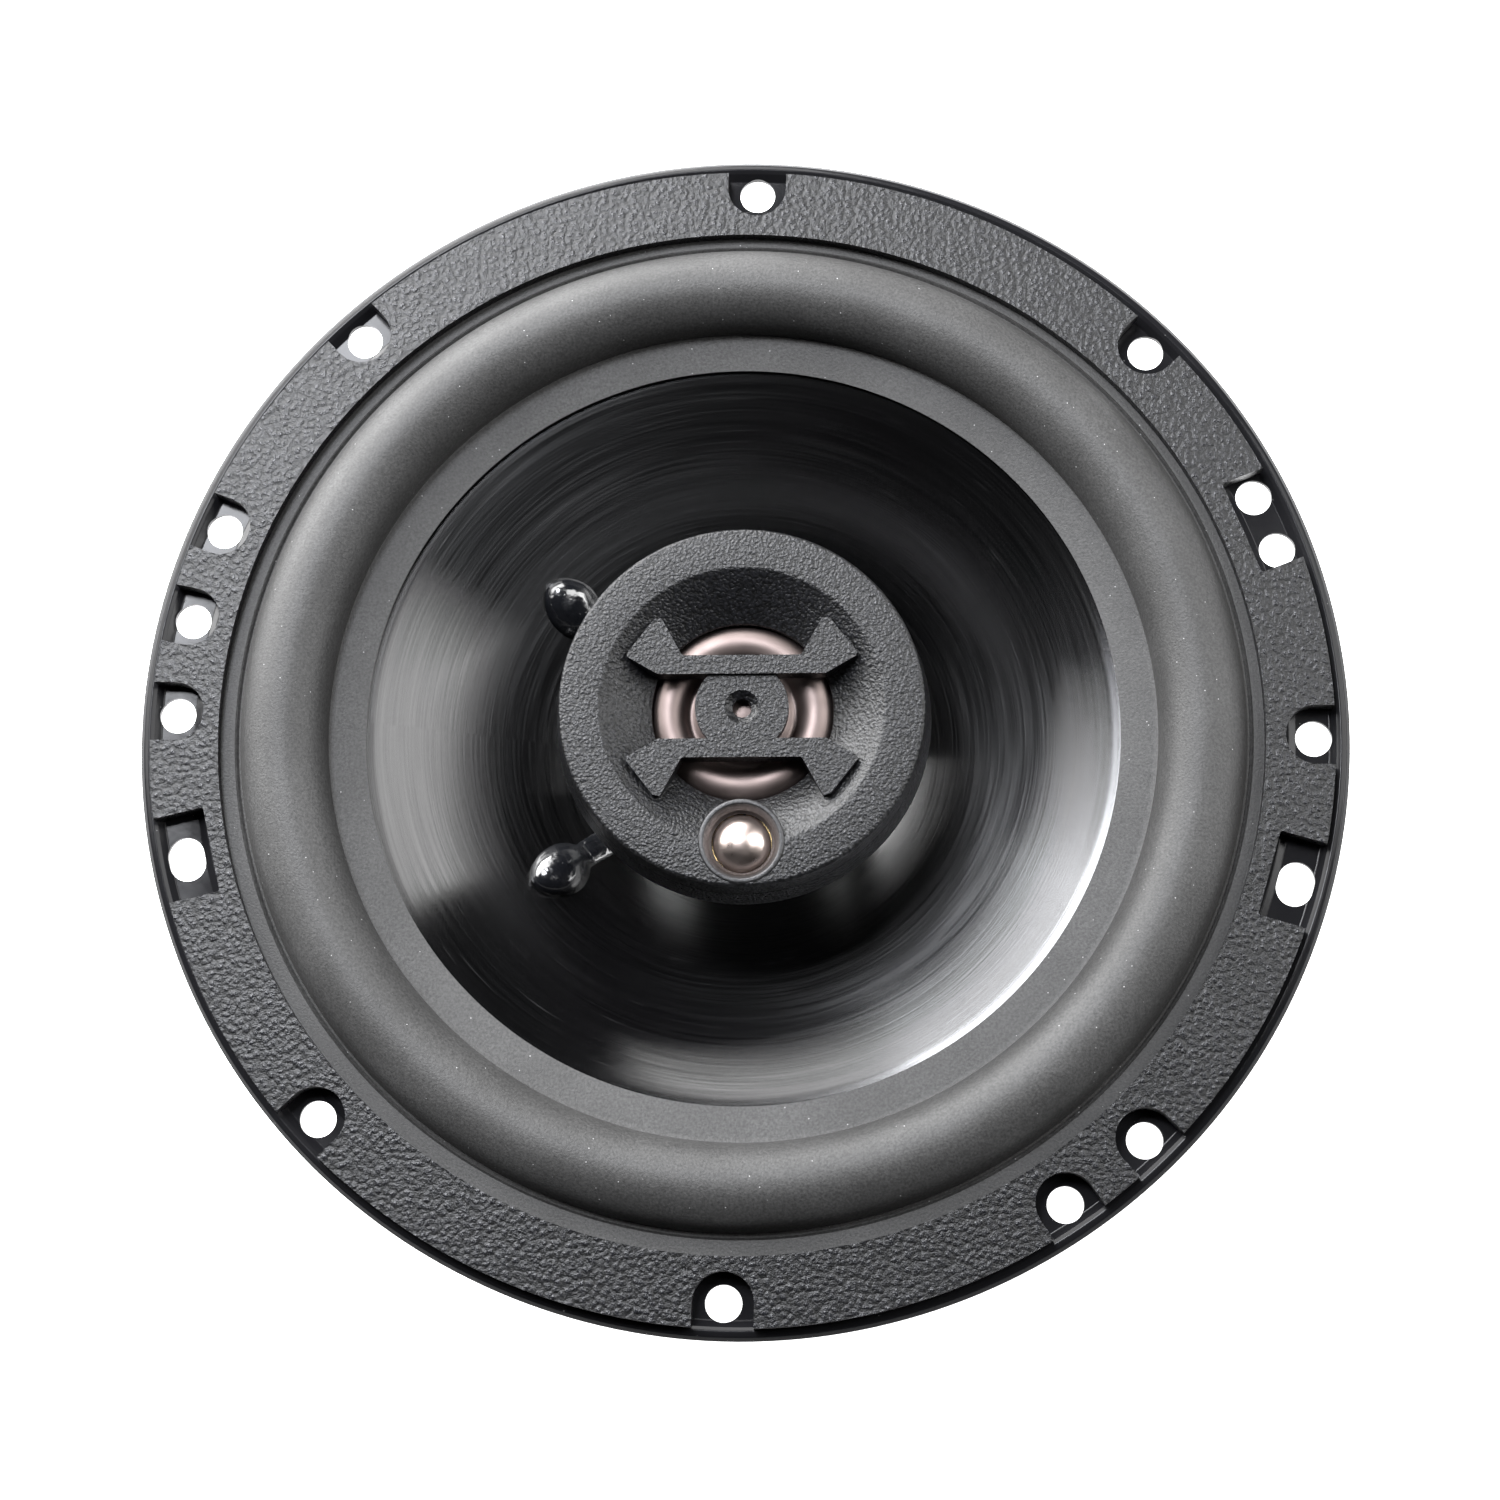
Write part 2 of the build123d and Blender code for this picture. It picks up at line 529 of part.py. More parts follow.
with BuildPart() as pod_bezel:
    turned(
        [
            (DISH_R, POD_TOP),
            (POD_R - 0.5, POD_TOP),
            (POD_R - 0.12, POD_TOP - 0.13),
            (POD_R, POD_TOP - 0.5),
            (POD_R + 0.25, POD_SPLIT),
            (POD_R - 1.3, POD_SPLIT),
            (POD_R - 1.5, POD_TOP - 1.5),
            (DISH_R + 0.5, POD_TOP - 1.5),
            (PORT_R + 2.2, PORT_Z - 0.2),
            (PORT_R + 2.2, PORT_Z - 1.0),
            (PORT_R, PORT_Z - 1.0),
            (PORT_R, PORT_Z),
        ],
        POD_CENTRE,
    )
    add(bars.part)
    with BuildSketch(POD_PLANE.offset(DISC_BOTTOM)):
        Circle(DISC_R)
    extrude(amount=DISC_TOP - DISC_BOTTOM)
    disc(DISC_HOLE_R, DISC_BOTTOM - 1, DISC_TOP + 1, centre=POD_CENTRE, mode=Mode.SUBTRACT)
    sink_h = 0.8
    turned(
        [(0, DISC_TOP), (DISC_SINK_R, DISC_TOP), (DISC_HOLE_R, DISC_TOP - sink_h), (0, DISC_TOP - sink_h)],
        POD_CENTRE,
        mode=Mode.SUBTRACT,
    )
    disc(SUPER_R, POD_SPLIT - 1, POD_TOP + 1, centre=SUPER_XY, mode=Mode.SUBTRACT)

# ---- Tweeter inside the pod -------------------------------------------------------------------------
def diaphragm_outline():
    dome = ThreePointArc((0.05, 9.75), (3.8, 9.15), (TWEETER_COIL_R, DIAPHRAGM_Z + 0.1))
    trough = Line(dome @ 1, (TWEETER_COIL_R + 0.9, DIAPHRAGM_Z))
    roll = ThreePointArc(trough @ 1, (10.1, DIAPHRAGM_Z + 1.5), (12.6, DIAPHRAGM_Z))
    Line(roll @ 1, (DIAPHRAGM_R, DIAPHRAGM_Z))


with BuildPart() as tweeter_diaphragm:
    turned_sheet(diaphragm_outline, DIAPHRAGM_T, POD_CENTRE)

with BuildPart() as tweeter_coil:
    coil_top = DIAPHRAGM_Z - DIAPHRAGM_T - 0.06
    disc(TWEETER_COIL_R + 0.2, 5.9, coil_top, bore=TWEETER_COIL_R - 0.1, centre=POD_CENTRE)

with BuildPart() as tweeter_pot:
    disc(POT_R, POT_BOTTOM, 7.2, centre=POD_CENTRE)
    disc(TWEETER_COIL_R + 0.7, 5.2, 7.3, centre=POD_CENTRE, mode=Mode.SUBTRACT)

with BuildPart() as tweeter_magnet:
    disc(TWEETER_MAGNET_R, 5.2, 6.5, centre=POD_CENTRE)

with BuildPart() as tweeter_plate:
    disc(TWEETER_PLATE_R, 6.5, 7.2, centre=POD_CENTRE)

with BuildPart() as tweeter_ring:
    disc(PORT_R + 2.1, 5.6, 7.2, bore=POT_R, centre=POD_CENTRE)
    disc(PORT_R + 2.1, 7.2, PORT_Z - 1.0, bore=DIAPHRAGM_R + 0.2, centre=POD_CENTRE)

# ---- Super tweeter at the pod's lower edge ----------------------------------------------------------
SUPER_TOP, SUPER_BOTTOM, DOME_BASE = 13.55, 9.6, 11.5
with BuildPart() as super_tweeter_bezel:
    turned(
        [
            (SUPER_R, SUPER_BOTTOM),
            (SUPER_R, SUPER_TOP - 0.25),
            (SUPER_R - 0.3, SUPER_TOP),
            (SUPER_R - 0.65, SUPER_TOP),
            (DOME_R + 0.45, DOME_BASE + 0.5),
            (DOME_R + 0.1, DOME_BASE + 0.2),
            (DOME_R + 0.1, DOME_BASE),
            (DOME_R + 1.0, DOME_BASE),
            (DOME_R + 1.0, SUPER_BOTTOM),
        ],
        SUPER_XY,
    )


def dome_outline():
    ThreePointArc((0.05, DOME_BASE + 1.75), (2.3, DOME_BASE + 1.2), (DOME_R, DOME_BASE))


with BuildPart() as super_tweeter_dome:
    turned_sheet(dome_outline, 0.2, SUPER_XY)

with BuildPart() as super_tweeter_piezo:
    disc(DOME_R + 0.95, DOME_BASE - 0.7, DOME_BASE - 0.3, centre=SUPER_XY)

with BuildPart() as super_tweeter_back:
    disc(DOME_R + 1.0, SUPER_BOTTOM, SUPER_BOTTOM + 0.8, centre=SUPER_XY)

# ---- Terminals and crossover on the arm at -X -------------------------------------------------------
with BuildPart() as terminal_board:
    with BuildSketch(ARM_PLANE):
        RectangleRounded(BOARD_W, BOARD_H, 1.5)
        with Locations((0, BOARD_RIVET_Y)):
            Circle(BOARD_RIVET_R, mode=Mode.SUBTRACT)
        with Locations((-TAB_X, TAB_ROOT), (TAB_X, TAB_ROOT)):
            Rectangle(2.6, 1.8, mode=Mode.SUBTRACT)
        with Locations((-TAB_X, TAB_RIVET_Y), (TAB_X, TAB_RIVET_Y)):
            Circle(TAB_RIVET_R, mode=Mode.SUBTRACT)
    extrude(amount=BOARD_T)

with BuildPart() as board_rivet:
    clearance = 0.1  # between the inner head, which is flat, and the arm, which is curved
    heads_and_shank = (
        (BOARD_T, 2.6, 0.8),
        (-SHEET - clearance - 0.7, 2.4, 0.7),
        (-SHEET - clearance, BOARD_RIVET_R, SHEET + clearance + BOARD_T),
    )
    for low, radius, height in heads_and_shank:
        with BuildSketch(ARM_PLANE.offset(low)):
            with Locations((0, BOARD_RIVET_Y)):
                Circle(radius)
        extrude(amount=height)


FOOT_TOP = BOARD_T + TAB_T
PRONG_W, PRONG_TIP = 2.2, -4.6


def spade_tab(x, width):
    """A spade tab: a foot on the board, a blade standing out of it, and a prong through the arm."""
    across = Plane(origin=on_arm(x, 0, 0), x_dir=ARM_PLANE.y_dir, z_dir=ARM_PLANE.x_dir)
    prong_y = TAB_ROOT - TAB_T / 2
    with BuildSketch(across.offset(-width / 2)) as foot_and_blade:
        with BuildLine():
            Polyline(
                (prong_y, BOARD_T),
                (BLADE_Y + TAB_T - 0.5, BOARD_T),
                (BLADE_Y + TAB_T, BOARD_T + 0.5),
                (BLADE_Y + TAB_T, BLADE_TOP),
                (BLADE_Y, BLADE_TOP),
                (BLADE_Y, FOOT_TOP),
                (prong_y, FOOT_TOP),
                close=True,
            )
        make_face()
    extrude(foot_and_blade.sketch, amount=width)
    with BuildSketch(across.offset(-PRONG_W / 2)) as prong:
        with Locations((prong_y, PRONG_TIP)):
            Rectangle(TAB_T, FOOT_TOP - PRONG_TIP, align=(Align.MIN, Align.MIN))
    extrude(prong.sketch, amount=PRONG_W)
    with BuildSketch(ARM_PLANE.offset(BOARD_T - 1)) as rivet_hole:
        with Locations((x, TAB_RIVET_Y)):
            Circle(TAB_RIVET_R)
    extrude(rivet_hole.sketch, amount=TAB_T + 2, mode=Mode.SUBTRACT)
    blade_plane = Plane(origin=on_arm(x, BLADE_Y - 1, BLADE_TOP - 3.4), z_dir=ARM_PLANE.y_dir)
    with BuildSketch(blade_plane) as blade_hole:
        Circle(0.85)
    extrude(blade_hole.sketch, amount=TAB_T + 2, mode=Mode.SUBTRACT)


with BuildPart() as terminal_positive:
    spade_tab(TAB_X, WIDE_TAB)

with BuildPart() as terminal_negative:
    spade_tab(-TAB_X, NARROW_TAB)

with BuildPart() as terminal_rivets:
    for low, radius, height in ((0, TAB_RIVET_R, FOOT_TOP), (FOOT_TOP, 1.5, 0.6)):
        with BuildSketch(ARM_PLANE.offset(low)):
            with Locations((-TAB_X, TAB_RIVET_Y), (TAB_X, TAB_RIVET_Y)):
                Circle(radius)
        extrude(amount=height)

CAPACITOR_Z = BOARD_T + CAPACITOR_R + 0.05
ALONG_BOARD = Plane(
    origin=on_arm(0, CAPACITOR_Y, CAPACITOR_Z),
    x_dir=ARM_PLANE.y_dir,
    z_dir=ARM_PLANE.x_dir,
)
with BuildPart() as crossover_capacitor:
    with BuildSketch(ALONG_BOARD.offset(-CAPACITOR_L / 2)):
        Circle(CAPACITOR_R)
    extrude(amount=CAPACITOR_L)
    fillet(crossover_capacitor.edges().filter_by(GeomType.CIRCLE), radius=0.6)
    with BuildSketch(ALONG_BOARD.offset(CAPACITOR_L / 2 - 1.9)):  # the crimp around the can
        Circle(CAPACITOR_R + 1)
        Circle(CAPACITOR_R - 0.35, mode=Mode.SUBTRACT)
    extrude(amount=0.8, mode=Mode.SUBTRACT)

LEG_R, LEG_REACH, LEG_GAP = 0.3, 2.0, 1.5
with BuildPart() as capacitor_legs:
    for y in (CAPACITOR_Y - LEG_GAP, CAPACITOR_Y + LEG_GAP):
        route = [
            on_arm(CAPACITOR_L / 2, y, CAPACITOR_Z),
            on_arm(CAPACITOR_L / 2 + LEG_REACH, y, CAPACITOR_Z),
            on_arm(CAPACITOR_L / 2 + LEG_REACH, y, BOARD_T),
        ]
        wire(route, LEG_R, [0.9])

# ---- Tweeter wires: up the post's bore, from a groove in the boot and the terminal board -------------
UNDER_POT = (FLOOR_IN + POT_BOTTOM) / 2
WIRE_SIDE_X = -BOOT_R + 0.5
TWEETER_WIRE_RADII = [4.5, 5.2, 5.0, 10.0, 10.0]


def tweeter_wire(side):
    y = side * WIRE_GAP
    route = [
        (-11.0, y * 1.3, UNDER_POT),
        (0, y, UNDER_POT),
        (0, y, WIRE_Z),
        (WIRE_SIDE_X, y, WIRE_Z),
        (WIRE_SIDE_X, y, BOOT_TOP - 2.5),
        (WIRE_SIDE_X - 2.8, y * 1.4, BASKET_FLOOR - 1.0),
        on_arm(side * 2.0, 7.0, BOARD_T + WIRE_R + 0.1),
    ]
    wire(route, WIRE_R, TWEETER_WIRE_RADII)


with BuildPart() as tweeter_wire_positive:
    tweeter_wire(1)

with BuildPart() as tweeter_wire_negative:
    tweeter_wire(-1)

# ---- Output -----------------------------------------------------------------------------------------
pieces = {
    "basket": basket,
    "basket_rivets": basket_rivets,
    "gasket_ring": gasket_ring,
    "surround": surround,
    "cone": cone,
    "voice_coil_former": voice_coil_former,
    "voice_coil_winding": voice_coil_winding,
    "spider": spider,
    "lead_dab_upper": lead_dab_upper,
    "lead_dab_lower": lead_dab_lower,
    "lead_eyelets": lead_eyelets,
    "tinsel_lead_positive": tinsel_lead_positive,
    "tinsel_lead_negative": tinsel_lead_negative,
    "top_plate": top_plate,
    "ring_magnet": ring_magnet,
    "yoke": yoke,
    "magnet_boot": magnet_boot,
    "tweeter_post": tweeter_post,
    "post_washer": post_washer,
    "post_nut": post_nut,
    "pod_housing": pod_housing,
    "pod_bezel": pod_bezel,
    "tweeter_diaphragm": tweeter_diaphragm,
    "tweeter_coil": tweeter_coil,
    "tweeter_pot": tweeter_pot,
    "tweeter_magnet": tweeter_magnet,
    "tweeter_plate": tweeter_plate,
    "tweeter_ring": tweeter_ring,
    "super_tweeter_bezel": super_tweeter_bezel,
    "super_tweeter_dome": super_tweeter_dome,
    "super_tweeter_piezo": super_tweeter_piezo,
    "super_tweeter_back": super_tweeter_back,
    "terminal_board": terminal_board,
    "board_rivet": board_rivet,
    "terminal_positive": terminal_positive,
    "terminal_negative": terminal_negative,
    "terminal_rivets": terminal_rivets,
    "crossover_capacitor": crossover_capacitor,
    "capacitor_legs": capacitor_legs,
    "tweeter_wire_positive": tweeter_wire_positive,
    "tweeter_wire_negative": tweeter_wire_negative,
}

os.makedirs("parts", exist_ok=True)
for name, piece in pieces.items():
    piece.part.label = name
    export_step(piece.part, f"parts/{name}.step")
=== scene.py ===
"""The looks of a coaxial car speaker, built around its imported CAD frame.

Lengths are written in millimetres and turned into metres when a mesh is made. The frame's origin is on the
speaker's axis at the flange's rear face, +Z points out of the cone and the terminals are at -X.
"""

import json
from math import atan2, ceil, cos, exp, hypot, pi, radians, sin, sqrt, tan

import bmesh
import bpy
from mathutils import Matrix, Vector
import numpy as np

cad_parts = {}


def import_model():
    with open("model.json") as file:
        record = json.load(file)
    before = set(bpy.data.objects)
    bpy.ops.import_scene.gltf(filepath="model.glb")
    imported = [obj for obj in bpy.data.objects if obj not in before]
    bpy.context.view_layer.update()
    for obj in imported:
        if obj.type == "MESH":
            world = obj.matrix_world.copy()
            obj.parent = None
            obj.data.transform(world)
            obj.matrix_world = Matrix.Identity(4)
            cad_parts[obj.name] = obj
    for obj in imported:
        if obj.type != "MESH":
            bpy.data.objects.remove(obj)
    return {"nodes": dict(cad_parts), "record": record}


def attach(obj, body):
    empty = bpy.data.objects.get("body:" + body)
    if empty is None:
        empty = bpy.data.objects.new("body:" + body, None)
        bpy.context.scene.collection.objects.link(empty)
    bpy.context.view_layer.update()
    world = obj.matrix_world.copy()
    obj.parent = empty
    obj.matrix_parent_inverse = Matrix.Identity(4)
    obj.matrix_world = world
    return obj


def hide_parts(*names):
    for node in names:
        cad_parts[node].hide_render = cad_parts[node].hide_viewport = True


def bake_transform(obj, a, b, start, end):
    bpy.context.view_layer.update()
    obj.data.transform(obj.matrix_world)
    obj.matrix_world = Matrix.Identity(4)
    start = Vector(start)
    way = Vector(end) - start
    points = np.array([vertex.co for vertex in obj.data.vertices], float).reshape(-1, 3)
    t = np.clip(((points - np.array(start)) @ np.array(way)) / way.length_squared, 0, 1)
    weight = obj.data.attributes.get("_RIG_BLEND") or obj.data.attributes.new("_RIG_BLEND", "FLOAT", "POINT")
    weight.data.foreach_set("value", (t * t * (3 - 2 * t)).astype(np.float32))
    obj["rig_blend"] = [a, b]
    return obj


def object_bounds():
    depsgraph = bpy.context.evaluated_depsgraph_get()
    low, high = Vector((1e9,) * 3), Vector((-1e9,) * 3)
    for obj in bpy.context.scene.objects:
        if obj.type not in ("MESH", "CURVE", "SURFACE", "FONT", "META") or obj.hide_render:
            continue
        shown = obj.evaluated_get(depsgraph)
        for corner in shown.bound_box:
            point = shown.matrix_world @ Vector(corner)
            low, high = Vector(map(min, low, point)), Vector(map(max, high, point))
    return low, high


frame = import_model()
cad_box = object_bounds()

MM = 0.001
STEPS = 256  # sides of the large turned pieces

# ---- Main dimensions, as in the CAD ----------------------------------------------------------------
RIM_R, SHEET, BOLT_R, BOLT_HOLE_R = 83.97, 1.2, 79.0, 2.5
ROUND_HOLES = (0, 20, 26, 45, 90, 135, 160, 170, 180, 225, 270, 305, 315)
DOUBLE_HOLE, SLOT_HOLES, SLOT_LENGTH = 23, (195, 345), 6.2
SHELF_TOP, FLOOR_TOP = -27.4, -34.8
GASKET_IN_R, GASKET_OUT_R, GASKET_TOP = 72.4, 81.9, 3.7
GASKET_CENTRE = (-0.25, -0.5)
RUBBER = 0.6
POD_CENTRE, POD_TURN = (0.5, 0.1), radians(1.6)
POD_R, POD_TOP, POD_SPLIT = 24.86, 13.4, 9.0
SUPER_Y, SUPER_R = -18.7, 5.8
FLOOR_Z = cad_box[0][2] / MM

record = frame["record"]
SUPER_CENTRE = (
    POD_CENTRE[0] - SUPER_Y * sin(POD_TURN),
    POD_CENTRE[1] + SUPER_Y * cos(POD_TURN),
)


# ---- Outlines ---------------------------------------------------------------------------------------
def polar(radius, angle, z=0.0):
    """The point at this radius and angle in degrees."""
    return (radius * cos(radians(angle)), radius * sin(radians(angle)), z)


def arc(start, middle, end, steps):
    """Points on the circle through three points, both ends included."""
    (ax, ay), (bx, by), (cx, cy) = start, middle, end
    d = 2 * (ax * (by - cy) + bx * (cy - ay) + cx * (ay - by))
    a2, b2, c2 = ax * ax + ay * ay, bx * bx + by * by, cx * cx + cy * cy
    ux = (a2 * (by - cy) + b2 * (cy - ay) + c2 * (ay - by)) / d
    uy = (a2 * (cx - bx) + b2 * (ax - cx) + c2 * (bx - ax)) / d
    radius = hypot(ax - ux, ay - uy)
    first, mid, last = (atan2(y - uy, x - ux) for x, y in (start, middle, end))
    turn = (last - first) % (2 * pi)
    if (mid - first) % (2 * pi) > turn:
        turn -= 2 * pi
    return [
        (ux + radius * cos(first + turn * i / steps), uy + radius * sin(first + turn * i / steps))
        for i in range(steps + 1)
    ]


def rounded(points, radius, closed=True, steps=4):
    """The same outline with each corner replaced by an arc. radius is one number or one per point."""
    count = len(points)
    radii = radius if isinstance(radius, (list, tuple)) else [radius] * count
    result = []
    for i, (x, y) in enumerate(points):
        if radii[i] <= 0 or (not closed and i in (0, count - 1)):
            result.append((x, y))
            continue
        before, after = Vector(points[i - 1]), Vector(points[(i + 1) % count])
        corner = Vector((x, y))
        to_before, to_after = (before - corner), (after - corner)
        half = to_before.angle(to_after) / 2
        if half > radians(88):
            result.append((x, y))
            continue
        reach = min(radii[i] / tan(half), 0.49 * to_before.length, 0.49 * to_after.length)
        r = reach * tan(half)
        u, v = to_before.normalized(), to_after.normalized()
        centre = corner + (u + v).normalized() * (r / sin(half))
        first = corner + u * reach - centre
        last = corner + v * reach - centre
        angle = first.angle_signed(last)
        for k in range(steps + 1):
            result.append(tuple(centre + Matrix.Rotation(-angle * k / steps, 2) @ first))
    return result


def thickened(path, thickness):
    """A closed outline: an open path and its offset to the path's right."""
    other = []
    for i, point in enumerate(path):
        before, after = Vector(path[max(i - 1, 0)]), Vector(path[min(i + 1, len(path) - 1)])
        along = (after - before).normalized()
        other.append((point[0] + along.y * thickness, point[1] - along.x * thickness))
    return list(path) + other[::-1]


# ---- Meshes -----------------------------------------------------------------------------------------
def finish_mesh(name, bm, sharp=35.0):
    """Makes an object of a bmesh in millimetres, smooth but for edges sharper than an angle."""
    bmesh.ops.recalc_face_normals(bm, faces=bm.faces)
    mesh = bpy.data.meshes.new(name)
    bm.to_mesh(mesh)
    bm.free()
    mesh.transform(Matrix.Scale(MM, 4))
    mesh.shade_smooth()
    mesh.set_sharp_from_angle(angle=radians(sharp))
    piece = bpy.data.objects.new(name, mesh)
    bpy.context.collection.objects.link(piece)
    return piece


def lathe(name, outline, centre=(0, 0), steps=STEPS, sharp=35.0):
    """A turned piece, whose outline's points are (radius, height). Points on the axis make poles."""
    bm = bmesh.new()
    rings = []
    for r, z in outline:
        if r < 1e-6:
            rings.append([bm.verts.new((*centre, z))])
            continue
        angles = (2 * pi * k / steps for k in range(steps))
        rings.append([bm.verts.new((centre[0] + r * cos(a), centre[1] + r * sin(a), z)) for a in angles])
    for ring, after in zip(rings, rings[1:] + rings[:1]):
        for k in range(steps):
            corners = [ring[k % len(ring)], ring[(k + 1) % len(ring)]]
            corners += [after[(k + 1) % len(after)], after[k % len(after)]]
            corners = list(dict.fromkeys(corners))
            if len(corners) > 2:
                bm.faces.new(corners)
    return finish_mesh(name, bm, sharp)


def prism(name, outline, low, high, place=Matrix.Identity(4)):
    """A closed outline extruded between two levels of its own plane, then placed."""
    bm = bmesh.new()
    bottom = [bm.verts.new(place @ Vector((x, y, low))) for x, y in outline]
    top = [bm.verts.new(place @ Vector((x, y, high))) for x, y in outline]
    bm.faces.new(bottom)
    bm.faces.new(top)
    for i in range(len(outline)):
        j = (i + 1) % len(outline)
        bm.faces.new((bottom[i], bottom[j], top[j], top[i]))
    return finish_mesh(name, bm)


def circle(radius, centre=(0, 0), steps=48):
    return [
        (centre[0] + radius * cos(2 * pi * k / steps), centre[1] + radius * sin(2 * pi * k / steps))
        for k in range(steps)
    ]


def apply_modifiers(piece):
    """Bakes a piece's modifiers into its mesh."""
    depsgraph = bpy.context.evaluated_depsgraph_get()
    mesh = bpy.data.meshes.new_from_object(piece.evaluated_get(depsgraph))
    piece.modifiers.clear()
    old = piece.data
    piece.data = mesh
    mesh.name = piece.name
    bpy.data.meshes.remove(old)


def combine(piece, tools, operation):
    """Cuts tools from a piece, or joins them to it, and removes them."""
    collection = bpy.data.collections.new("tools")
    for tool in tools:
        bpy.context.collection.objects.unlink(tool)
        collection.objects.link(tool)
    modifier = piece.modifiers.new("combine", "BOOLEAN")
    modifier.operation = operation
    modifier.operand_type = "COLLECTION"
    modifier.collection = collection
    modifier.solver = "EXACT"
    bpy.context.view_layer.update()
    apply_modifiers(piece)
    for tool in tools:
        bpy.data.objects.remove(tool)
    bpy.data.collections.remove(collection)
    piece.data.shade_smooth()
    piece.data.set_sharp_from_angle(angle=radians(35))
    return piece


def soften(piece, width, segments=3, angle=35.0):
    """Rounds every edge sharper than an angle, and keeps flat faces flat."""
    bevel = piece.modifiers.new("bevel", "BEVEL")
    bevel.width = width * MM
    bevel.segments = segments
    bevel.limit_method = "ANGLE"
    bevel.angle_limit = radians(angle)
    bevel.harden_normals = True
    bevel.use_clamp_overlap = True
    return piece


# ---- Materials --------------------------------------------------------------------------------------
class Look:
    """A node material being built: constants go on the shader, textures are added and linked."""

    def __init__(self, name, colour, roughness, **constants):
        self.material = bpy.data.materials.new(name)
        self.material.use_nodes = True
        self.tree = self.material.node_tree
        self.shader = self.tree.nodes["Principled BSDF"]
        self.shader.inputs["Base Color"].default_value = (*colour, 1)
        self.shader.inputs["Roughness"].default_value = roughness
        for socket, value in constants.items():
            self.shader.inputs[socket.replace("_", " ")].default_value = value
        self.material.diffuse_color = (*colour, 1)
        self.place = self.add("ShaderNodeTexCoord").outputs["Object"]

    def add(self, kind, inputs=None, **settings):
        node = self.tree.nodes.new(kind)
        for setting, value in settings.items():
            setattr(node, setting, value)
        for socket, value in (inputs or {}).items():
            if isinstance(value, bpy.types.NodeSocket):
                self.tree.links.new(value, node.inputs[socket])
            else:
                node.inputs[socket].default_value = value
        return node

    def link(self, value, socket):
        self.tree.links.new(value, self.shader.inputs[socket])

    def maths(self, operation, a, b=0.0, c=0.0):
        return self.add("ShaderNodeMath", {0: a, 1: b, 2: c}, operation=operation).outputs[0]

    def noise(self, size, detail=2.0, place=None, roughness=0.5, distortion=0.0):
        """Noise whose features are about size millimetres across."""
        inputs = {"Vector": place or self.place, "Scale": 1 / (size * MM), "Detail": detail}
        inputs |= {"Roughness": roughness, "Distortion": distortion}
        return self.add("ShaderNodeTexNoise", inputs).outputs["Fac"]

    def cells(self, size, feature="F1", place=None, randomness=1.0):
        """Cells about size millimetres across: the distance to the nearest cell's middle, or its edge."""
        inputs = {"Vector": place or self.place, "Scale": 1 / (size * MM), "Randomness": randomness}
        return self.add("ShaderNodeTexVoronoi", inputs, feature=feature).outputs["Distance"]

    def ramp(self, value, low, high, from_low=0.0, from_high=1.0):
        """value mapped from one range to another, clamped."""
        inputs = {"Value": value, "From Min": from_low, "From Max": from_high}
        inputs |= {"To Min": low, "To Max": high}
        return self.add("ShaderNodeMapRange", inputs).outputs["Result"]

    def mix(self, factor, a, b):
        """A blend from a to b, each an (r, g, b) colour or a socket."""
        a, b = ((*colour, 1) if isinstance(colour, tuple) else colour for colour in (a, b))
        inputs = {0: factor, 6: a, 7: b}
        return self.add("ShaderNodeMix", inputs, data_type="RGBA").outputs[2]

    def bump(self, height, depth, strength=1.0, under=None):
        """A bump of depth millimetres for a height from 0 to 1, over another bump if given."""
        inputs = {"Height": height, "Distance": depth * MM, "Strength": strength}
        if under is not None:
            inputs["Normal"] = under
        return self.add("ShaderNodeBump", inputs).outputs["Normal"]

    def vector(self, operation, a, b):
        return self.add("ShaderNodeVectorMath", {0: a, 1: b}, operation=operation)

    def radius(self, centre=None):
        """The distance, in metres, from the speaker's axis or a parallel one through centre."""
        place = self.place
        if centre is not None:
            place = self.vector("SUBTRACT", place, (centre[0] * MM, centre[1] * MM, 0)).outputs[0]
        flat = self.vector("MULTIPLY", place, (1, 1, 0)).outputs[0]
        return self.add("ShaderNodeVectorMath", {0: flat}, operation="LENGTH").outputs["Value"]


def enamel_look():
    """Black gloss powder coat on pressed steel: a slight orange peel and a few dust specks."""
    look = Look("basket_enamel", (0.008, 0.008, 0.009), 0.16, Specular_IOR_Level=0.15)
    look.link(look.ramp(look.noise(9, 4), 0.12, 0.26, 0.35, 0.75), "Roughness")
    specks = look.ramp(look.cells(2.6), 1.0, 0.0, 0.02, 0.045)
    look.link(look.mix(specks, (0.008, 0.008, 0.009), (0.12, 0.12, 0.12)), "Base Color")
    peel = look.bump(look.noise(1.6, 2), 0.012)
    look.link(look.bump(specks, 0.03, under=peel), "Normal")
    return look.material


def gasket_look():
    """Moulded rubber with a leather grain: crowded round pebbles, uneven in height, with painted shade
    darkening the creases between them.
    """
    look = Look("gasket_grain", (0.006, 0.006, 0.0068), 0.34, Specular_IOR_Level=0.38)
    pebbles = look.maths("SUBTRACT", 1, look.cells(0.85))
    wrinkles = look.noise(0.5, 3, roughness=0.6)
    swell = look.noise(2.4, 2)
    grain = look.maths("MULTIPLY_ADD", pebbles, 0.75, look.maths("MULTIPLY_ADD", swell, 0.2, wrinkles))
    # Painted shade: the base colour is darkened in the creases between the pebbles and lighter on their
    # tops.
    painted_crease_shade = look.ramp(grain, 0, 1, 0.9, 1.4)
    look.link(look.mix(painted_crease_shade, (0.0006, 0.0006, 0.0008), (0.0105, 0.0108, 0.0132)), "Base Color")
    look.link(look.ramp(grain, 0.37, 0.22, 0.8, 1.4), "Roughness")
    look.link(look.bump(grain, 0.13), "Normal")
    return look.material


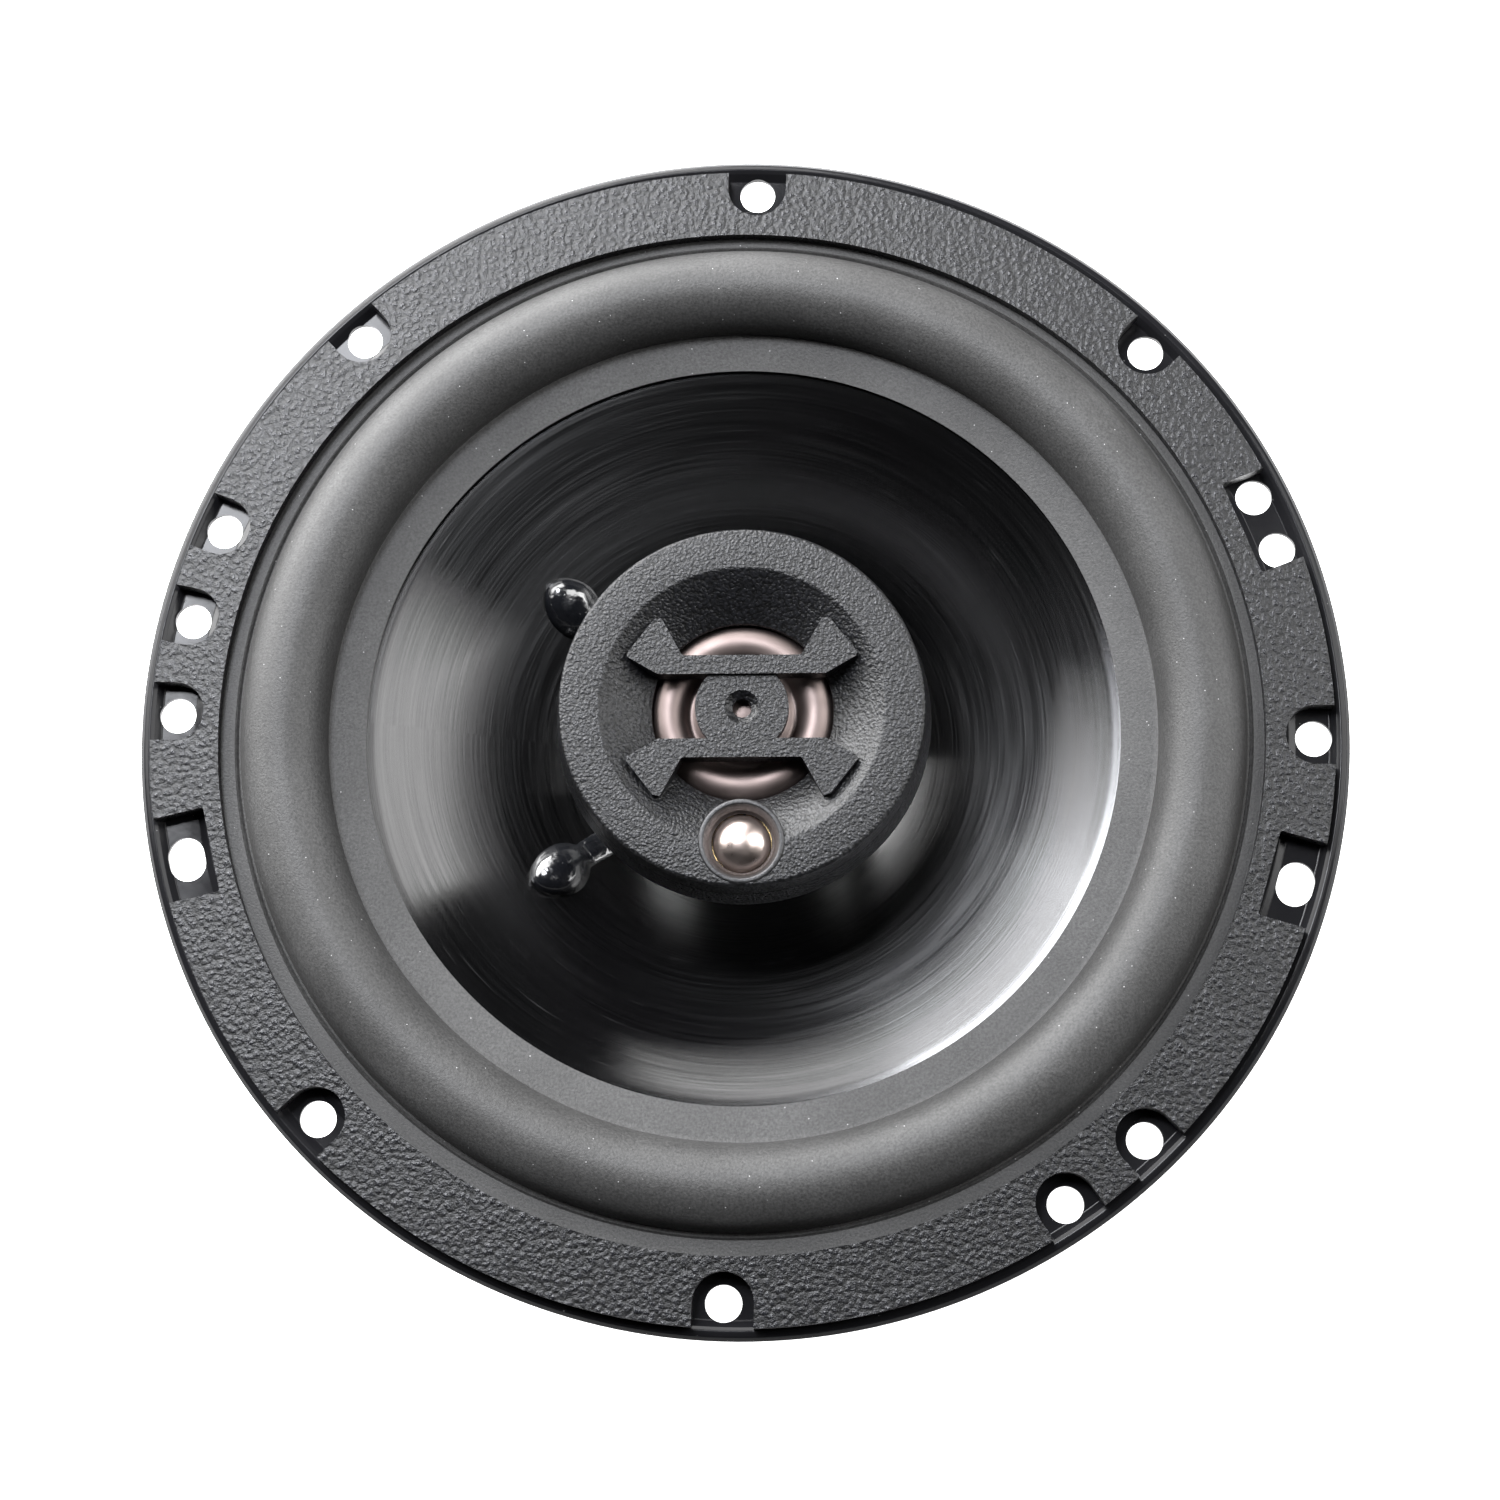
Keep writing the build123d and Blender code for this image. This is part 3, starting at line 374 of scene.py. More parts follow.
def surround_look():
    """Matt butyl rubber with a fine bloom and a few specks of dust."""
    look = Look("surround_rubber", (0.04, 0.0395, 0.039), 0.5, Specular_IOR_Level=0.34)
    fine = look.noise(0.3, 3, roughness=0.6)
    broad = look.noise(14, 3)
    dust = look.ramp(look.cells(1.9), 1.0, 0.0, 0.03, 0.05)
    tint = look.mix(look.ramp(broad, 0, 1, 0.35, 0.7), (0.041, 0.0405, 0.04), (0.057, 0.0565, 0.056))
    grit = look.ramp(look.noise(0.36, 2), 0.4, 1.0, 0.3, 0.7)
    tint = look.mix(grit, (0.008, 0.008, 0.008), tint)
    look.link(look.mix(dust, tint, (0.36, 0.36, 0.36)), "Base Color")
    look.link(look.ramp(fine, 0.42, 0.6), "Roughness")
    look.link(look.bump(fine, 0.05), "Normal")
    return look.material


def cone_look():
    """Gloss black cone with fine turned grooves, which spread its reflections across them."""
    turned = {"Anisotropic": 1.0, "Anisotropic_Rotation": 0.25}
    look = Look("cone_turned", (0.001, 0.001, 0.0011), 0.24, Specular_IOR_Level=0.68, **turned)
    tangent = look.add("ShaderNodeTangent", direction_type="RADIAL", axis="Z").outputs["Tangent"]
    look.link(tangent, "Tangent")
    radius = look.radius()
    flat = look.add("ShaderNodeSeparateXYZ", {0: look.place}).outputs
    angle = look.maths("ARCTAN2", flat[1], flat[0])

    def grooves(pitch, arc_length, detail):
        """Noise stretched around the axis: its width across the grooves and its length in radians."""
        across, along = look.maths("DIVIDE", radius, pitch * MM), look.maths("DIVIDE", angle, arc_length)
        stretched = look.add("ShaderNodeCombineXYZ", {0: across, 1: along}).outputs[0]
        inputs = {"Vector": stretched, "Scale": 1.0, "Detail": detail}
        return look.add("ShaderNodeTexNoise", inputs).outputs["Fac"]

    fine, middle, broad = grooves(0.16, 0.5, 3.0), grooves(0.3, 0.5, 2.0), grooves(1.4, 1.5, 2.0)
    hairs = look.ramp(grooves(0.3, 0.25, 2.0), 0, 1, 0.66, 0.78)
    uneven = look.maths("MULTIPLY_ADD", broad, 0.45, middle)
    look.link(look.maths("MULTIPLY_ADD", hairs, 0.05, look.ramp(uneven, 0.14, 0.23, 0.5, 0.95)), "Roughness")
    look.link(look.mix(hairs, (0.0008, 0.0008, 0.0009), (0.012, 0.012, 0.0122)), "Base Color")
    look.link(look.bump(middle, 0.012, under=look.bump(fine, 0.01)), "Normal")
    return look.material


def pod_look():
    """Moulded plastic with a spark-eroded texture: crowded small lumps, lighter on their tops and darkened
    in the creases between them as painted shade.
    """
    look = Look("pod_texture", (0.008, 0.008, 0.009), 0.36, Specular_IOR_Level=0.37)
    lumps = look.maths("SUBTRACT", 1, look.cells(0.52))
    grain = look.maths("MULTIPLY_ADD", lumps, 0.7, look.noise(0.32, 2, roughness=0.6))
    # Painted shade: the base colour is darkened in the creases between the lumps and lighter on their tops.
    painted_crease_shade = look.ramp(grain, 0, 1, 0.7, 1.2)
    look.link(look.mix(painted_crease_shade, (0.0004, 0.0004, 0.0006), (0.0135, 0.0139, 0.0162)), "Base Color")
    look.link(look.ramp(grain, 0.42, 0.26, 0.6, 1.2), "Roughness")
    look.link(look.bump(grain, 0.13), "Normal")
    return look.material


def film_look():
    """Rose-bronze metallised polyester film, formed over a fine die so that it shines softly."""
    look = Look("metallised_film", (0.6, 0.49, 0.46), 0.3, Metallic=1.0)
    look.link(look.ramp(look.noise(3.0, 3), 0.42, 0.5, 0.3, 0.7), "Roughness")
    look.link(look.mix(look.noise(6, 2), (0.19, 0.154, 0.145), (0.15, 0.12, 0.113)), "Base Color")
    look.link(look.bump(look.noise(1.2, 2), 0.006), "Normal")
    return look.material


def dome_look():
    """The super tweeter's dome: brighter satin bronze."""
    look = Look("satin_dome", (0.6, 0.5, 0.46), 0.3, Metallic=1.0)
    look.link(look.mix(look.noise(3, 2), (0.58, 0.49, 0.45), (0.48, 0.4, 0.365)), "Base Color")
    look.link(look.ramp(look.noise(2.0, 2), 0.27, 0.37, 0.3, 0.7), "Roughness")
    look.link(look.bump(look.noise(0.5, 2), 0.004), "Normal")
    return look.material


def bezel_look():
    """The super tweeter's ring: grained dark lacquer outside, a smooth bronze throat inside."""
    look = Look("dark_lacquer", (0.05, 0.048, 0.048), 0.4, Metallic=0.4)
    throat = look.ramp(look.radius(SUPER_CENTRE), 1, 0, 4.6 * MM, 5.0 * MM)
    fine = look.noise(0.35, 3)
    skin = look.mix(fine, (0.008, 0.008, 0.0085), (0.05, 0.05, 0.052))
    look.link(look.mix(throat, skin, (0.03, 0.024, 0.022)), "Base Color")
    look.link(look.ramp(fine, 0.28, 0.48), "Roughness")
    look.link(look.bump(fine, 0.05), "Normal")
    return look.material


def glue_look():
    """Black contact cement that dried glossy, with a few bubbles."""
    shine = {"Specular_IOR_Level": 1.0, "Coat_Weight": 0.7, "Coat_Roughness": 0.04}
    look = Look("glue", (0.006, 0.0065, 0.008), 0.14, **shine)
    look.link(look.ramp(look.noise(1.5, 2), 0.12, 0.26, 0.4, 0.7), "Roughness")
    bubbles = look.ramp(look.cells(1.3), 1, 0, 0.05, 0.14)
    look.link(look.bump(bubbles, 0.05, under=look.bump(look.noise(2.2, 2), 0.25)), "Normal")
    return look.material


def metal_look(name, colour, roughness, grain, streak=(1, 1, 1)):
    """Plated or rolled metal, with uneven polish and slight staining."""
    look = Look(name, colour, roughness, Metallic=1.0)
    stretched = look.vector("MULTIPLY", look.place, streak).outputs[0]
    fine = look.noise(grain, 4, place=stretched)
    broad = look.noise(8, 3)
    dark = tuple(c * 0.72 for c in colour)
    look.link(look.mix(look.ramp(broad, 0, 1, 0.35, 0.7), dark, colour), "Base Color")
    look.link(look.ramp(fine, roughness * 0.7, roughness * 1.5, 0.3, 0.7), "Roughness")
    look.link(look.bump(fine, 0.015), "Normal")
    return look.material


def plastic_look(name, colour, roughness, grain=0.5, depth=0.02):
    """Moulded plastic or rubber with a fine skin."""
    look = Look(name, colour, roughness)
    fine = look.noise(grain, 3)
    light = tuple(min(1, c * 1.45 + 0.004) for c in colour)
    look.link(look.mix(look.ramp(look.noise(6, 3), 0, 1, 0.35, 0.7), colour, light), "Base Color")
    look.link(look.ramp(fine, roughness * 0.8, min(1, roughness * 1.3), 0.3, 0.7), "Roughness")
    look.link(look.bump(fine, depth), "Normal")
    return look.material


def ferrite_look():
    """Sintered ferrite: dark grey, matt, with fine pits and chalky dust."""
    look = Look("ferrite", (0.06, 0.06, 0.063), 0.7)
    pits = look.cells(0.7)
    dust = look.noise(5, 4)
    chalky = look.ramp(dust, 0, 1, 0.45, 0.75)
    look.link(look.mix(chalky, (0.045, 0.045, 0.048), (0.13, 0.13, 0.13)), "Base Color")
    look.link(look.bump(look.ramp(pits, 0, 1, 0.05, 0.3), 0.04), "Normal")
    return look.material


def spider_look():
    """Resin-treated cotton: an over-and-under weave, amber where the resin pooled."""
    look = Look("spider_cloth", (0.55, 0.38, 0.16), 0.7, Sheen_Weight=0.3)
    axes = look.add("ShaderNodeSeparateXYZ", {0: look.place}).outputs
    thread = 2 * pi / (0.55 * MM)
    warp = look.maths("SINE", look.maths("MULTIPLY", axes[0], thread))
    weft = look.maths("SINE", look.maths("MULTIPLY", axes[1], thread))
    weave = look.maths("MULTIPLY_ADD", look.maths("MULTIPLY", warp, weft), 0.5, 0.5)
    amber = look.mix(look.noise(5, 3), (0.62, 0.43, 0.19), (0.42, 0.26, 0.09))
    look.link(look.mix(look.ramp(weave, 0, 0.45), amber, (0.25, 0.15, 0.06)), "Base Color")
    look.link(look.bump(weave, 0.12), "Normal")
    return look.material


def winding_look():
    """Enamelled copper wire wound side by side."""
    look = Look("copper_winding", (0.62, 0.25, 0.11), 0.25, Metallic=1.0, Coat_Weight=0.6)
    height = look.add("ShaderNodeSeparateXYZ", {0: look.place}).outputs[2]
    turns = look.maths("SINE", look.maths("MULTIPLY", height, 2 * pi / (0.25 * MM)))
    look.link(look.mix(look.noise(4, 2), (0.66, 0.27, 0.12), (0.5, 0.19, 0.08)), "Base Color")
    look.link(look.bump(turns, 0.05), "Normal")
    return look.material


def braid_look():
    """Braided copper tinsel, tinned here and there."""
    look = Look("copper_braid", (0.6, 0.36, 0.2), 0.32, Metallic=1.0)
    strands = look.cells(0.28, "F1")
    look.link(look.mix(strands, (0.72, 0.46, 0.28), (0.3, 0.15, 0.07)), "Base Color")
    look.link(look.bump(strands, 0.1), "Normal")
    return look.material


def board_look():
    """Phenolic paper board: brown, with faint mottling and fibres."""
    look = Look("phenolic_board", (0.3, 0.16, 0.06), 0.42, Coat_Weight=0.2)
    fibre = look.noise(0.9, 5, roughness=0.7)
    look.link(look.mix(fibre, (0.22, 0.11, 0.04), (0.4, 0.23, 0.1)), "Base Color")
    look.link(look.bump(fibre, 0.02), "Normal")
    return look.material


LOOKS = {
    "basket_steel": enamel_look(),
    "plated_steel": metal_look("zinc_plate", (0.4, 0.41, 0.405), 0.32, 0.6),
    "gasket": gasket_look(),
    "surround_rubber": surround_look(),
    "cone": cone_look(),
    "former": metal_look("former_foil", (0.72, 0.72, 0.73), 0.28, 0.5, streak=(1, 1, 8)),
    "copper": winding_look(),
    "spider_cloth": spider_look(),
    "glue": glue_look(),
    "brass": metal_look("brass", (0.72, 0.53, 0.24), 0.25, 0.5),
    "braid": braid_look(),
    "ferrite": ferrite_look(),
    "boot_rubber": plastic_look("boot_rubber", (0.02, 0.02, 0.022), 0.5, 0.6, 0.03),
    "pod_plastic": pod_look(),
    "black_plastic": plastic_look("black_plastic", (0.02, 0.02, 0.021), 0.42, 0.5, 0.02),
    "metallised_film": film_look(),
    "magnet_plating": metal_look("nickel", (0.68, 0.66, 0.62), 0.15, 0.8),
    "bezel_metal": bezel_look(),
    "board": board_look(),
    "capacitor_sleeve": plastic_look("capacitor_sleeve", (0.01, 0.018, 0.07), 0.3, 1.5, 0.015),
    "wire_red": plastic_look("wire_red", (0.42, 0.012, 0.012), 0.35, 0.8, 0.015),
    "wire_black": plastic_look("wire_black", (0.014, 0.014, 0.015), 0.35, 0.8, 0.015),
}
DOME_LOOK = dome_look()
NODE_SLOT = {part["node"]: part["material_slot"] for part in record["subparts"]}
NODE_BODY = {node: body for body, nodes in record["behaviour"]["bodies"].items() for node in nodes}


def wear(piece, look):
    piece.data.materials.clear()
    piece.data.materials.append(look)


def stand_for(piece, node, look=None):
    """A piece takes a CAD node's place and body, and the look of its slot unless another is given."""
    wear(piece, look or LOOKS[NODE_SLOT[node]])
    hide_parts(node)
    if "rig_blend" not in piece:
        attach(piece, NODE_BODY[node])
    return piece


for node, cad_piece in frame["nodes"].items():
    wear(cad_piece, LOOKS[NODE_SLOT[node]])


# ---- Basket -----------------------------------------------------------------------------------------
def sector(angle, span, inner, outer, corner):
    """A window's outline: a rectangle with round corners, bent around the axis."""
    middle = (inner + outer) / 2
    half = radians(span / 2) * middle
    box = rounded([(inner, -half), (outer, -half), (outer, half), (inner, half)], corner, steps=6)
    dense = []
    for (x0, y0), (x1, y1) in zip(box, box[1:] + box[:1]):
        pieces = max(1, ceil(abs(y1 - y0) / 1.5))
        dense += [(x0 + (x1 - x0) * k / pieces, y0 + (y1 - y0) * k / pieces) for k in range(pieces)]
    bent = []
    for r, along in dense:
        turn = radians(angle) + along / middle
        bent.append((r * cos(turn), r * sin(turn)))
    return bent


def slot_outline(length, width, steps=16):
    """A slot along Y."""
    reach, r = (length - width) / 2, width / 2
    ends = [(r * cos(pi * k / steps), reach + r * sin(pi * k / steps)) for k in range(steps + 1)]
    return ends + [(-x, -y) for x, y in ends]


def turned_by(angle, at=(0, 0, 0)):
    return Matrix.Translation(at) @ Matrix.Rotation(radians(angle), 4, "Z")


def basket():
    """The stamping: flange with its pressed step and rolled rim, wall, four arms, shelf and cup."""
    step_z = 0.72
    upper = rounded(
        [
            (16.5, FLOOR_TOP),
            (35.3, FLOOR_TOP),
            (37.8, SHELF_TOP),
            (47.0, SHELF_TOP),
            (62.65, -11.75),
            (68.3, -11.0),
            (69.3, SHEET),
            (75.6, SHEET),
            (76.5, step_z),
            (81.2, step_z),
            (82.1, 1.55),
            (82.7, 1.85),
            (83.4, 1.6),
            (RIM_R, 0.95),
        ],
        [0, 1.2, 1.5, 1.5, 4.0, 4.0, 1.2, 0.35, 0.35, 0.4, 0.4, 0.5, 0.6, 0.3],
        closed=False,
        steps=6,
    )
    lower = rounded(
        [
            (RIM_R, 0.3),
            (83.7, 0.0),
            (70.5, 0.0),
            (69.5, -12.3),
            (63.5, -12.6),
            (47.5, -28.6),
            (39.0, -28.6),
            (36.5, -36.0),
            (16.5, -36.0),
        ],
        [0.2, 0.2, 1.6, 4.0, 4.5, 1.8, 1.0, 2.2, 0],
        closed=False,
        steps=6,
    )
    piece = lathe("basket_stamping", upper + lower)
    tools = []
    for angle in ROUND_HOLES:
        x, y, _ = polar(BOLT_R, angle)
        tools.append(prism("hole", circle(BOLT_HOLE_R, (x, y)), -2, 4))
    for angle in SLOT_HOLES:
        place = turned_by(angle, polar(BOLT_R, angle))
        tools.append(prism("hole", slot_outline(SLOT_LENGTH, 2 * BOLT_HOLE_R), -2, 4, place))
    for angle in (45, 135, 225, 315):
        tools.append(prism("window", sector(angle, 52, 49.1, 62.1, 3.5), -34, -8))
    for vent in range(8):
        angle = 22.5 + 45 * vent
        place = turned_by(angle) @ Matrix.Translation((33, 0, -32.2)) @ Matrix.Rotation(pi / 2, 4, "Y")
        box = rounded([(-1.7, -5.5), (1.7, -5.5), (1.7, 5.5), (-1.7, 5.5)], 1.5)
        tools.append(prism("vent", box, 0, 8, place))
    for angle in range(0, 360, 90):
        x, y, _ = polar(28, angle)
        tools.append(prism("rivet_hole", circle(2.0, (x, y)), -38, -33))
    arm = arm_frame()
    tools.append(prism("board_rivet_hole", circle(1.6, (0, 3.6)), -3, 1, arm))
    for x in (-6.6, 6.6):
        slot = rounded([(x - 2.2, -0.2), (x + 2.2, -0.2), (x + 2.2, 3.2), (x - 2.2, 3.2)], 0.8)
        tools.append(prism("prong_slot", slot, -3, 1, arm))
    combine(piece, tools, "DIFFERENCE")
    return soften(piece, 0.16, 2)


def arm_frame():
    """The plane of the terminal board on the outside of the arm at -X, as in the CAD."""
    x_axis = Vector((0, 1, 0))
    z_axis = Vector((-sin(pi / 4), 0, -cos(pi / 4)))
    y_axis = z_axis.cross(x_axis)
    turn = Matrix((x_axis, y_axis, z_axis)).transposed().to_4x4()
    return Matrix.Translation((-55.5, 0, -20.6)) @ turn


stand_for(basket(), "basket")


# ---- Gasket ring ------------------------------------------------------------------------------------
def gasket():
    """The ring with a notch around each hole, and its soft rounded edges."""
    low, top = SHEET, GASKET_TOP
    lip_r, lip_z = 74.4, low + RUBBER  # the surround's edge lies under this lip
    outline = [
        (GASKET_IN_R, lip_z),
        (GASKET_IN_R, top),
        (GASKET_OUT_R, top),
        (GASKET_OUT_R, low),
        (lip_r, low),
        (lip_r, lip_z),
    ]
    piece = lathe("gasket_moulding", outline, GASKET_CENTRE, 360)
    tools = []
    for angle in ROUND_HOLES:
        if abs(angle - DOUBLE_HOLE) > 5:
            r, reach = 4.15, 9.0
            u_shape = [(-r * sin(pi * k / 24), r * cos(pi * k / 24)) for k in range(25)]
            u_shape += [(reach, -r), (reach, r)]
            tools.append(prism("notch", u_shape, 0, 6, turned_by(angle, polar(BOLT_R, angle))))
    for angle, width in ((195, 12.1), (345, 12.1), (DOUBLE_HOLE, 13.9)):
        box = [(0, -width / 2), (14, -width / 2), (14, width / 2), (0, width / 2)]
        box = rounded(box, [0.4, 0, 0, 0.4])
        tools.append(prism("notch", box, 0, 6, turned_by(angle, polar(75.0, angle))))
    combine(piece, tools, "DIFFERENCE")
    return soften(piece, 0.42, 4)


stand_for(gasket(), "gasket_ring")


# ---- Surround, cone and spider ----------------------------------------------------------------------
def flex(piece, body, weight):
    """Lets a piece bend between the frame and a body, which each point follows by its own weight."""
    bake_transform(piece, "frame", body, start=(0, 0, 0), end=(0, 0, MM))
    weights = [min(1, max(0, weight(vertex.co / MM))) for vertex in piece.data.vertices]
    piece.data.attributes["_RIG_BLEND"].data.foreach_set("value", [t * t * (3 - 2 * t) for t in weights])
    return piece


def inward(inner, outer, centre=(0, 0)):
    """A weight that is 1 inside one radius and 0 beyond another."""
    return lambda p: (outer - hypot(p.x - centre[0], p.y - centre[1])) / (outer - inner)


def surround():
    """The rubber edge: inner lip on the cone, a half roll, and an outer lip under the gasket."""
    roll = arc((57.7, 0.75), (63.7, 7.5), (69.8, 1.9), 40)
    ledge = [(70.1, 1.8), (70.4, 2.1), (70.7, 1.8), (74.0, 1.8)]  # with a thin raised line around it
    path = [(52.6, -0.1), (53.2, 0.0), (56.9, 0.56), (57.4, 0.62)] + roll + ledge
    outline = thickened(path, RUBBER)
    piece = lathe("surround_roll", outline)
    return flex(piece, "cone", inward(58.4, 69.0))


stand_for(surround(), "surround")

CONE_FRONT = arc((14.4, -20.6), (31.5, -10.3), (51.8, -0.9), 60)


def cone():
    """The cone, with a shallow step near its neck and a turned-out rim under the surround's lip."""
    path = [(13.02, -23.1), (13.02, -21.4), (13.3, -21.0)] + CONE_FRONT + [(57.0, -0.14)]
    return lathe("cone_body", thickened(path, 0.6))


stand_for(cone(), "cone")


def spider():
    """The corrugated spider, glued to the shelf and to the voice coil's former."""
    flat_z, pitch, wave = SHELF_TOP + 0.4, 5.8, 1.5
    start = 13.9
    steps = 110
    path = [(13.5, flat_z + 1.6), (13.55, flat_z + 0.5)]
    for k in range(steps + 1):
        r = start + 5 * pitch * k / steps
        fade = min(1, k / 6, (steps - k) / 6)
        path.append((r, flat_z + fade * wave * sin(2 * pi * (r - start) / (2 * pitch))))
    path.append((46.3, flat_z))
    return flex(lathe("spider_cloth", thickened(path, 0.4)), "cone", inward(14.5, 43.0))


stand_for(spider(), "spider")


# ---- Glue over the coil's leads -----------------------------------------------------------------------
def cone_height(radius):
    """The height of the cone's front at a radius."""
    for (r0, z0), (r1, z1) in zip(CONE_FRONT, CONE_FRONT[1:]):
        if r0 <= radius <= r1:
            return z0 + (z1 - z0) * (radius - r0) / (r1 - r0)
    return CONE_FRONT[0][1]


def glue(name, angle, drop_r, drop_w, tail_w, tail_bend):
    """A drop of glue over an eyelet, drawn out to a point outside and into a tail down the cone."""
    bm = bmesh.new()
    rows, columns = 72, 22
    r_out, r_in = drop_r + 4.2, 15.8
    grid, under = [], []
    for i in range(rows + 1):
        radius = r_out + (r_in - r_out) * i / rows
        drop = max(0.0, 1 - ((radius - drop_r) / (4.4 if radius > drop_r else 4.6)) ** 2) ** 0.6
        tail = 1 / (1 + exp(-(drop_r - 1.0 - radius) / 1.1))
        fade = min(1, (radius - r_in) / 2.5)
        half = max(0.03, drop_w * drop, tail_w * tail * max(0.15, fade) ** 0.5)
        height = 3.1 * drop + 0.9 * tail * (1 - 0.6 * drop) * max(0.05, fade)
        sway = tail_bend * sin(pi * min(1, max(0, (drop_r - radius) / (drop_r - r_in))))
        top_row, under_row = [], []
        for j in range(columns + 1):
            across = -1 + 2 * j / columns
            side = half * across + sway
            turn = radians(angle) + side / radius
            lift = height * sqrt(max(0, 1 - across**2)) ** 1.2
            base = cone_height(radius)
            top_row.append(bm.verts.new((radius * cos(turn), radius * sin(turn), base + lift - 0.05)))
            under_row.append(bm.verts.new((radius * cos(turn), radius * sin(turn), base - 0.3)))
        grid.append(top_row)
        under.append(under_row)
    for i in range(rows):
        for j in range(columns):
            bm.faces.new((grid[i][j], grid[i][j + 1], grid[i + 1][j + 1], grid[i + 1][j]))
            bm.faces.new((under[i][j], under[i + 1][j], under[i + 1][j + 1], under[i][j + 1]))
    for i in range(rows):
        for j in (0, columns):
            bm.faces.new((grid[i][j], grid[i + 1][j], under[i + 1][j], under[i][j]))
    for i in (0, rows):
        for j in range(columns):
            bm.faces.new((grid[i][j], grid[i][j + 1], under[i][j + 1], under[i][j]))
    return finish_mesh(name, bm, 60)


stand_for(glue("glue_drop_upper", 142.0, 32.0, 4.0, 1.5, 0.4), "lead_dab_upper")
stand_for(glue("glue_drop_lower", 216.5, 31.6, 3.9, 2.1, -0.6), "lead_dab_lower")


# ---- Tinsel leads -------------------------------------------------------------------------------------
LEAD_R, LEAD_BENDS = 0.6, (3, 4, 3)


def swept(name, points, bends, radius, sides=20):
    """A wire along a path of straight runs joined by bends."""
    corners = [Vector(point) for point in points]
    path = [corners[0]]
    for before, corner, after, bend in zip(corners, corners[1:], corners[2:], bends):
        u, v = (before - corner).normalized(), (after - corner).normalized()
        shorter = min((before - corner).length, (after - corner).length)
        reach = min(bend / tan(u.angle(v) / 2), 0.45 * shorter)
        for k in range(13):
            t = k / 12
            path.append(corner + u * reach * (1 - t) ** 2 + v * reach * t**2)
    path.append(corners[-1])
    dense = [path[0]]
    for start, end in zip(path, path[1:]):
        pieces = max(1, ceil((end - start).length / 0.4))
        dense += [start.lerp(end, k / pieces) for k in range(1, pieces + 1)]
    bm = bmesh.new()
    rings, side = [], Vector((0, 0, 1))
    for i, point in enumerate(dense):
        along = (dense[min(i + 1, len(dense) - 1)] - dense[max(i - 1, 0)]).normalized()
        side = (side - along * side.dot(along)).normalized()
        other = along.cross(side)
        turns = [2 * pi * k / sides for k in range(sides)]
        rings.append([bm.verts.new(point + (side * cos(a) + other * sin(a)) * radius) for a in turns])
    for ring, after in zip(rings, rings[1:]):
        for k in range(sides):
            j = (k + 1) % sides
            bm.faces.new((ring[k], ring[j], after[j], after[k]))
    bm.faces.new(rings[0])
    bm.faces.new(rings[-1])
    return finish_mesh(name, bm)


UPPER_ROUTE = [
    (-50.9, 6.6, -18.7),
    (-46.4, 6.9, -15.7),
    (-38.9, 9.9, -18.2),
    (-29.6, 17.6, -18.2),
    (-24.6, 18.9, -14.6),
]
LOWER_ROUTE = [
    (-50.9, -6.6, -18.7),
    (-46.4, -6.9, -15.7),
    (-38.9, -9.9, -18.2),
    (-29.9, -17.1, -18.2),
    (-24.9, -18.4, -14.6),
]
for node, route in (("tinsel_lead_positive", UPPER_ROUTE), ("tinsel_lead_negative", LOWER_ROUTE)):
    lead = swept(node + "_braid", route, LEAD_BENDS, LEAD_R)
    # It hangs from the prong at its first end and follows the cone at its last.
    reach = inward(hypot(*route[-1][:2]), hypot(*route[0][:2]))
    stand_for(flex(lead, "cone", reach), node)


# ---- Pod --------------------------------------------------------------------------------------------
POD_PLACE = Matrix.Translation((*POD_CENTRE, 0)) @ Matrix.Rotation(POD_TURN, 4, "Z")


def pod_housing():
    """The pod's rear half: a cup on a neck."""
    inside = rounded(
        [
            (25.8, 4.8),
            (25.12, POD_SPLIT - 0.15),
            (24.9, POD_SPLIT),
            (23.56, POD_SPLIT),
            (24.2, 5.0),
            (21.0, 3.0),
            (4.05, 3.0),
        ],
        [0, 0.1, 0.1, 0, 1.5, 1.5, 0],
        closed=False,
    )
    outside = rounded(
        [(4.05, -4.0), (7.0, -4.0), (7.6, 1.0), (9.4, 1.6), (21.3, 1.6), (24.5, 2.6), (25.8, 4.8)],
        [0, 0.6, 2.0, 0.5, 2.0, 2.5, 0],
        closed=False,
    )
    return lathe("pod_cup", inside + outside[:-1], POD_CENTRE, 192)


stand_for(pod_housing(), "pod_housing")


def wing_bar(side):
    """One winged bar across the dish, its outline's corners a little rounded."""
    half = [(11.4, 4.5), (15.5, 6.9), (15.7, 7.4), (12.0, 12.2), (11.0, 12.4), (8.1, 7.1)]
    outline = [(x, side * y) for x, y in half] + [(-x, side * y) for x, y in reversed(half)]
    radii = [0.9, 0.3, 0.3, 0.3, 0.3, 0.6]
    return prism("bar", rounded(outline, radii + radii[::-1]), 10.1, 13.1, POD_PLACE)


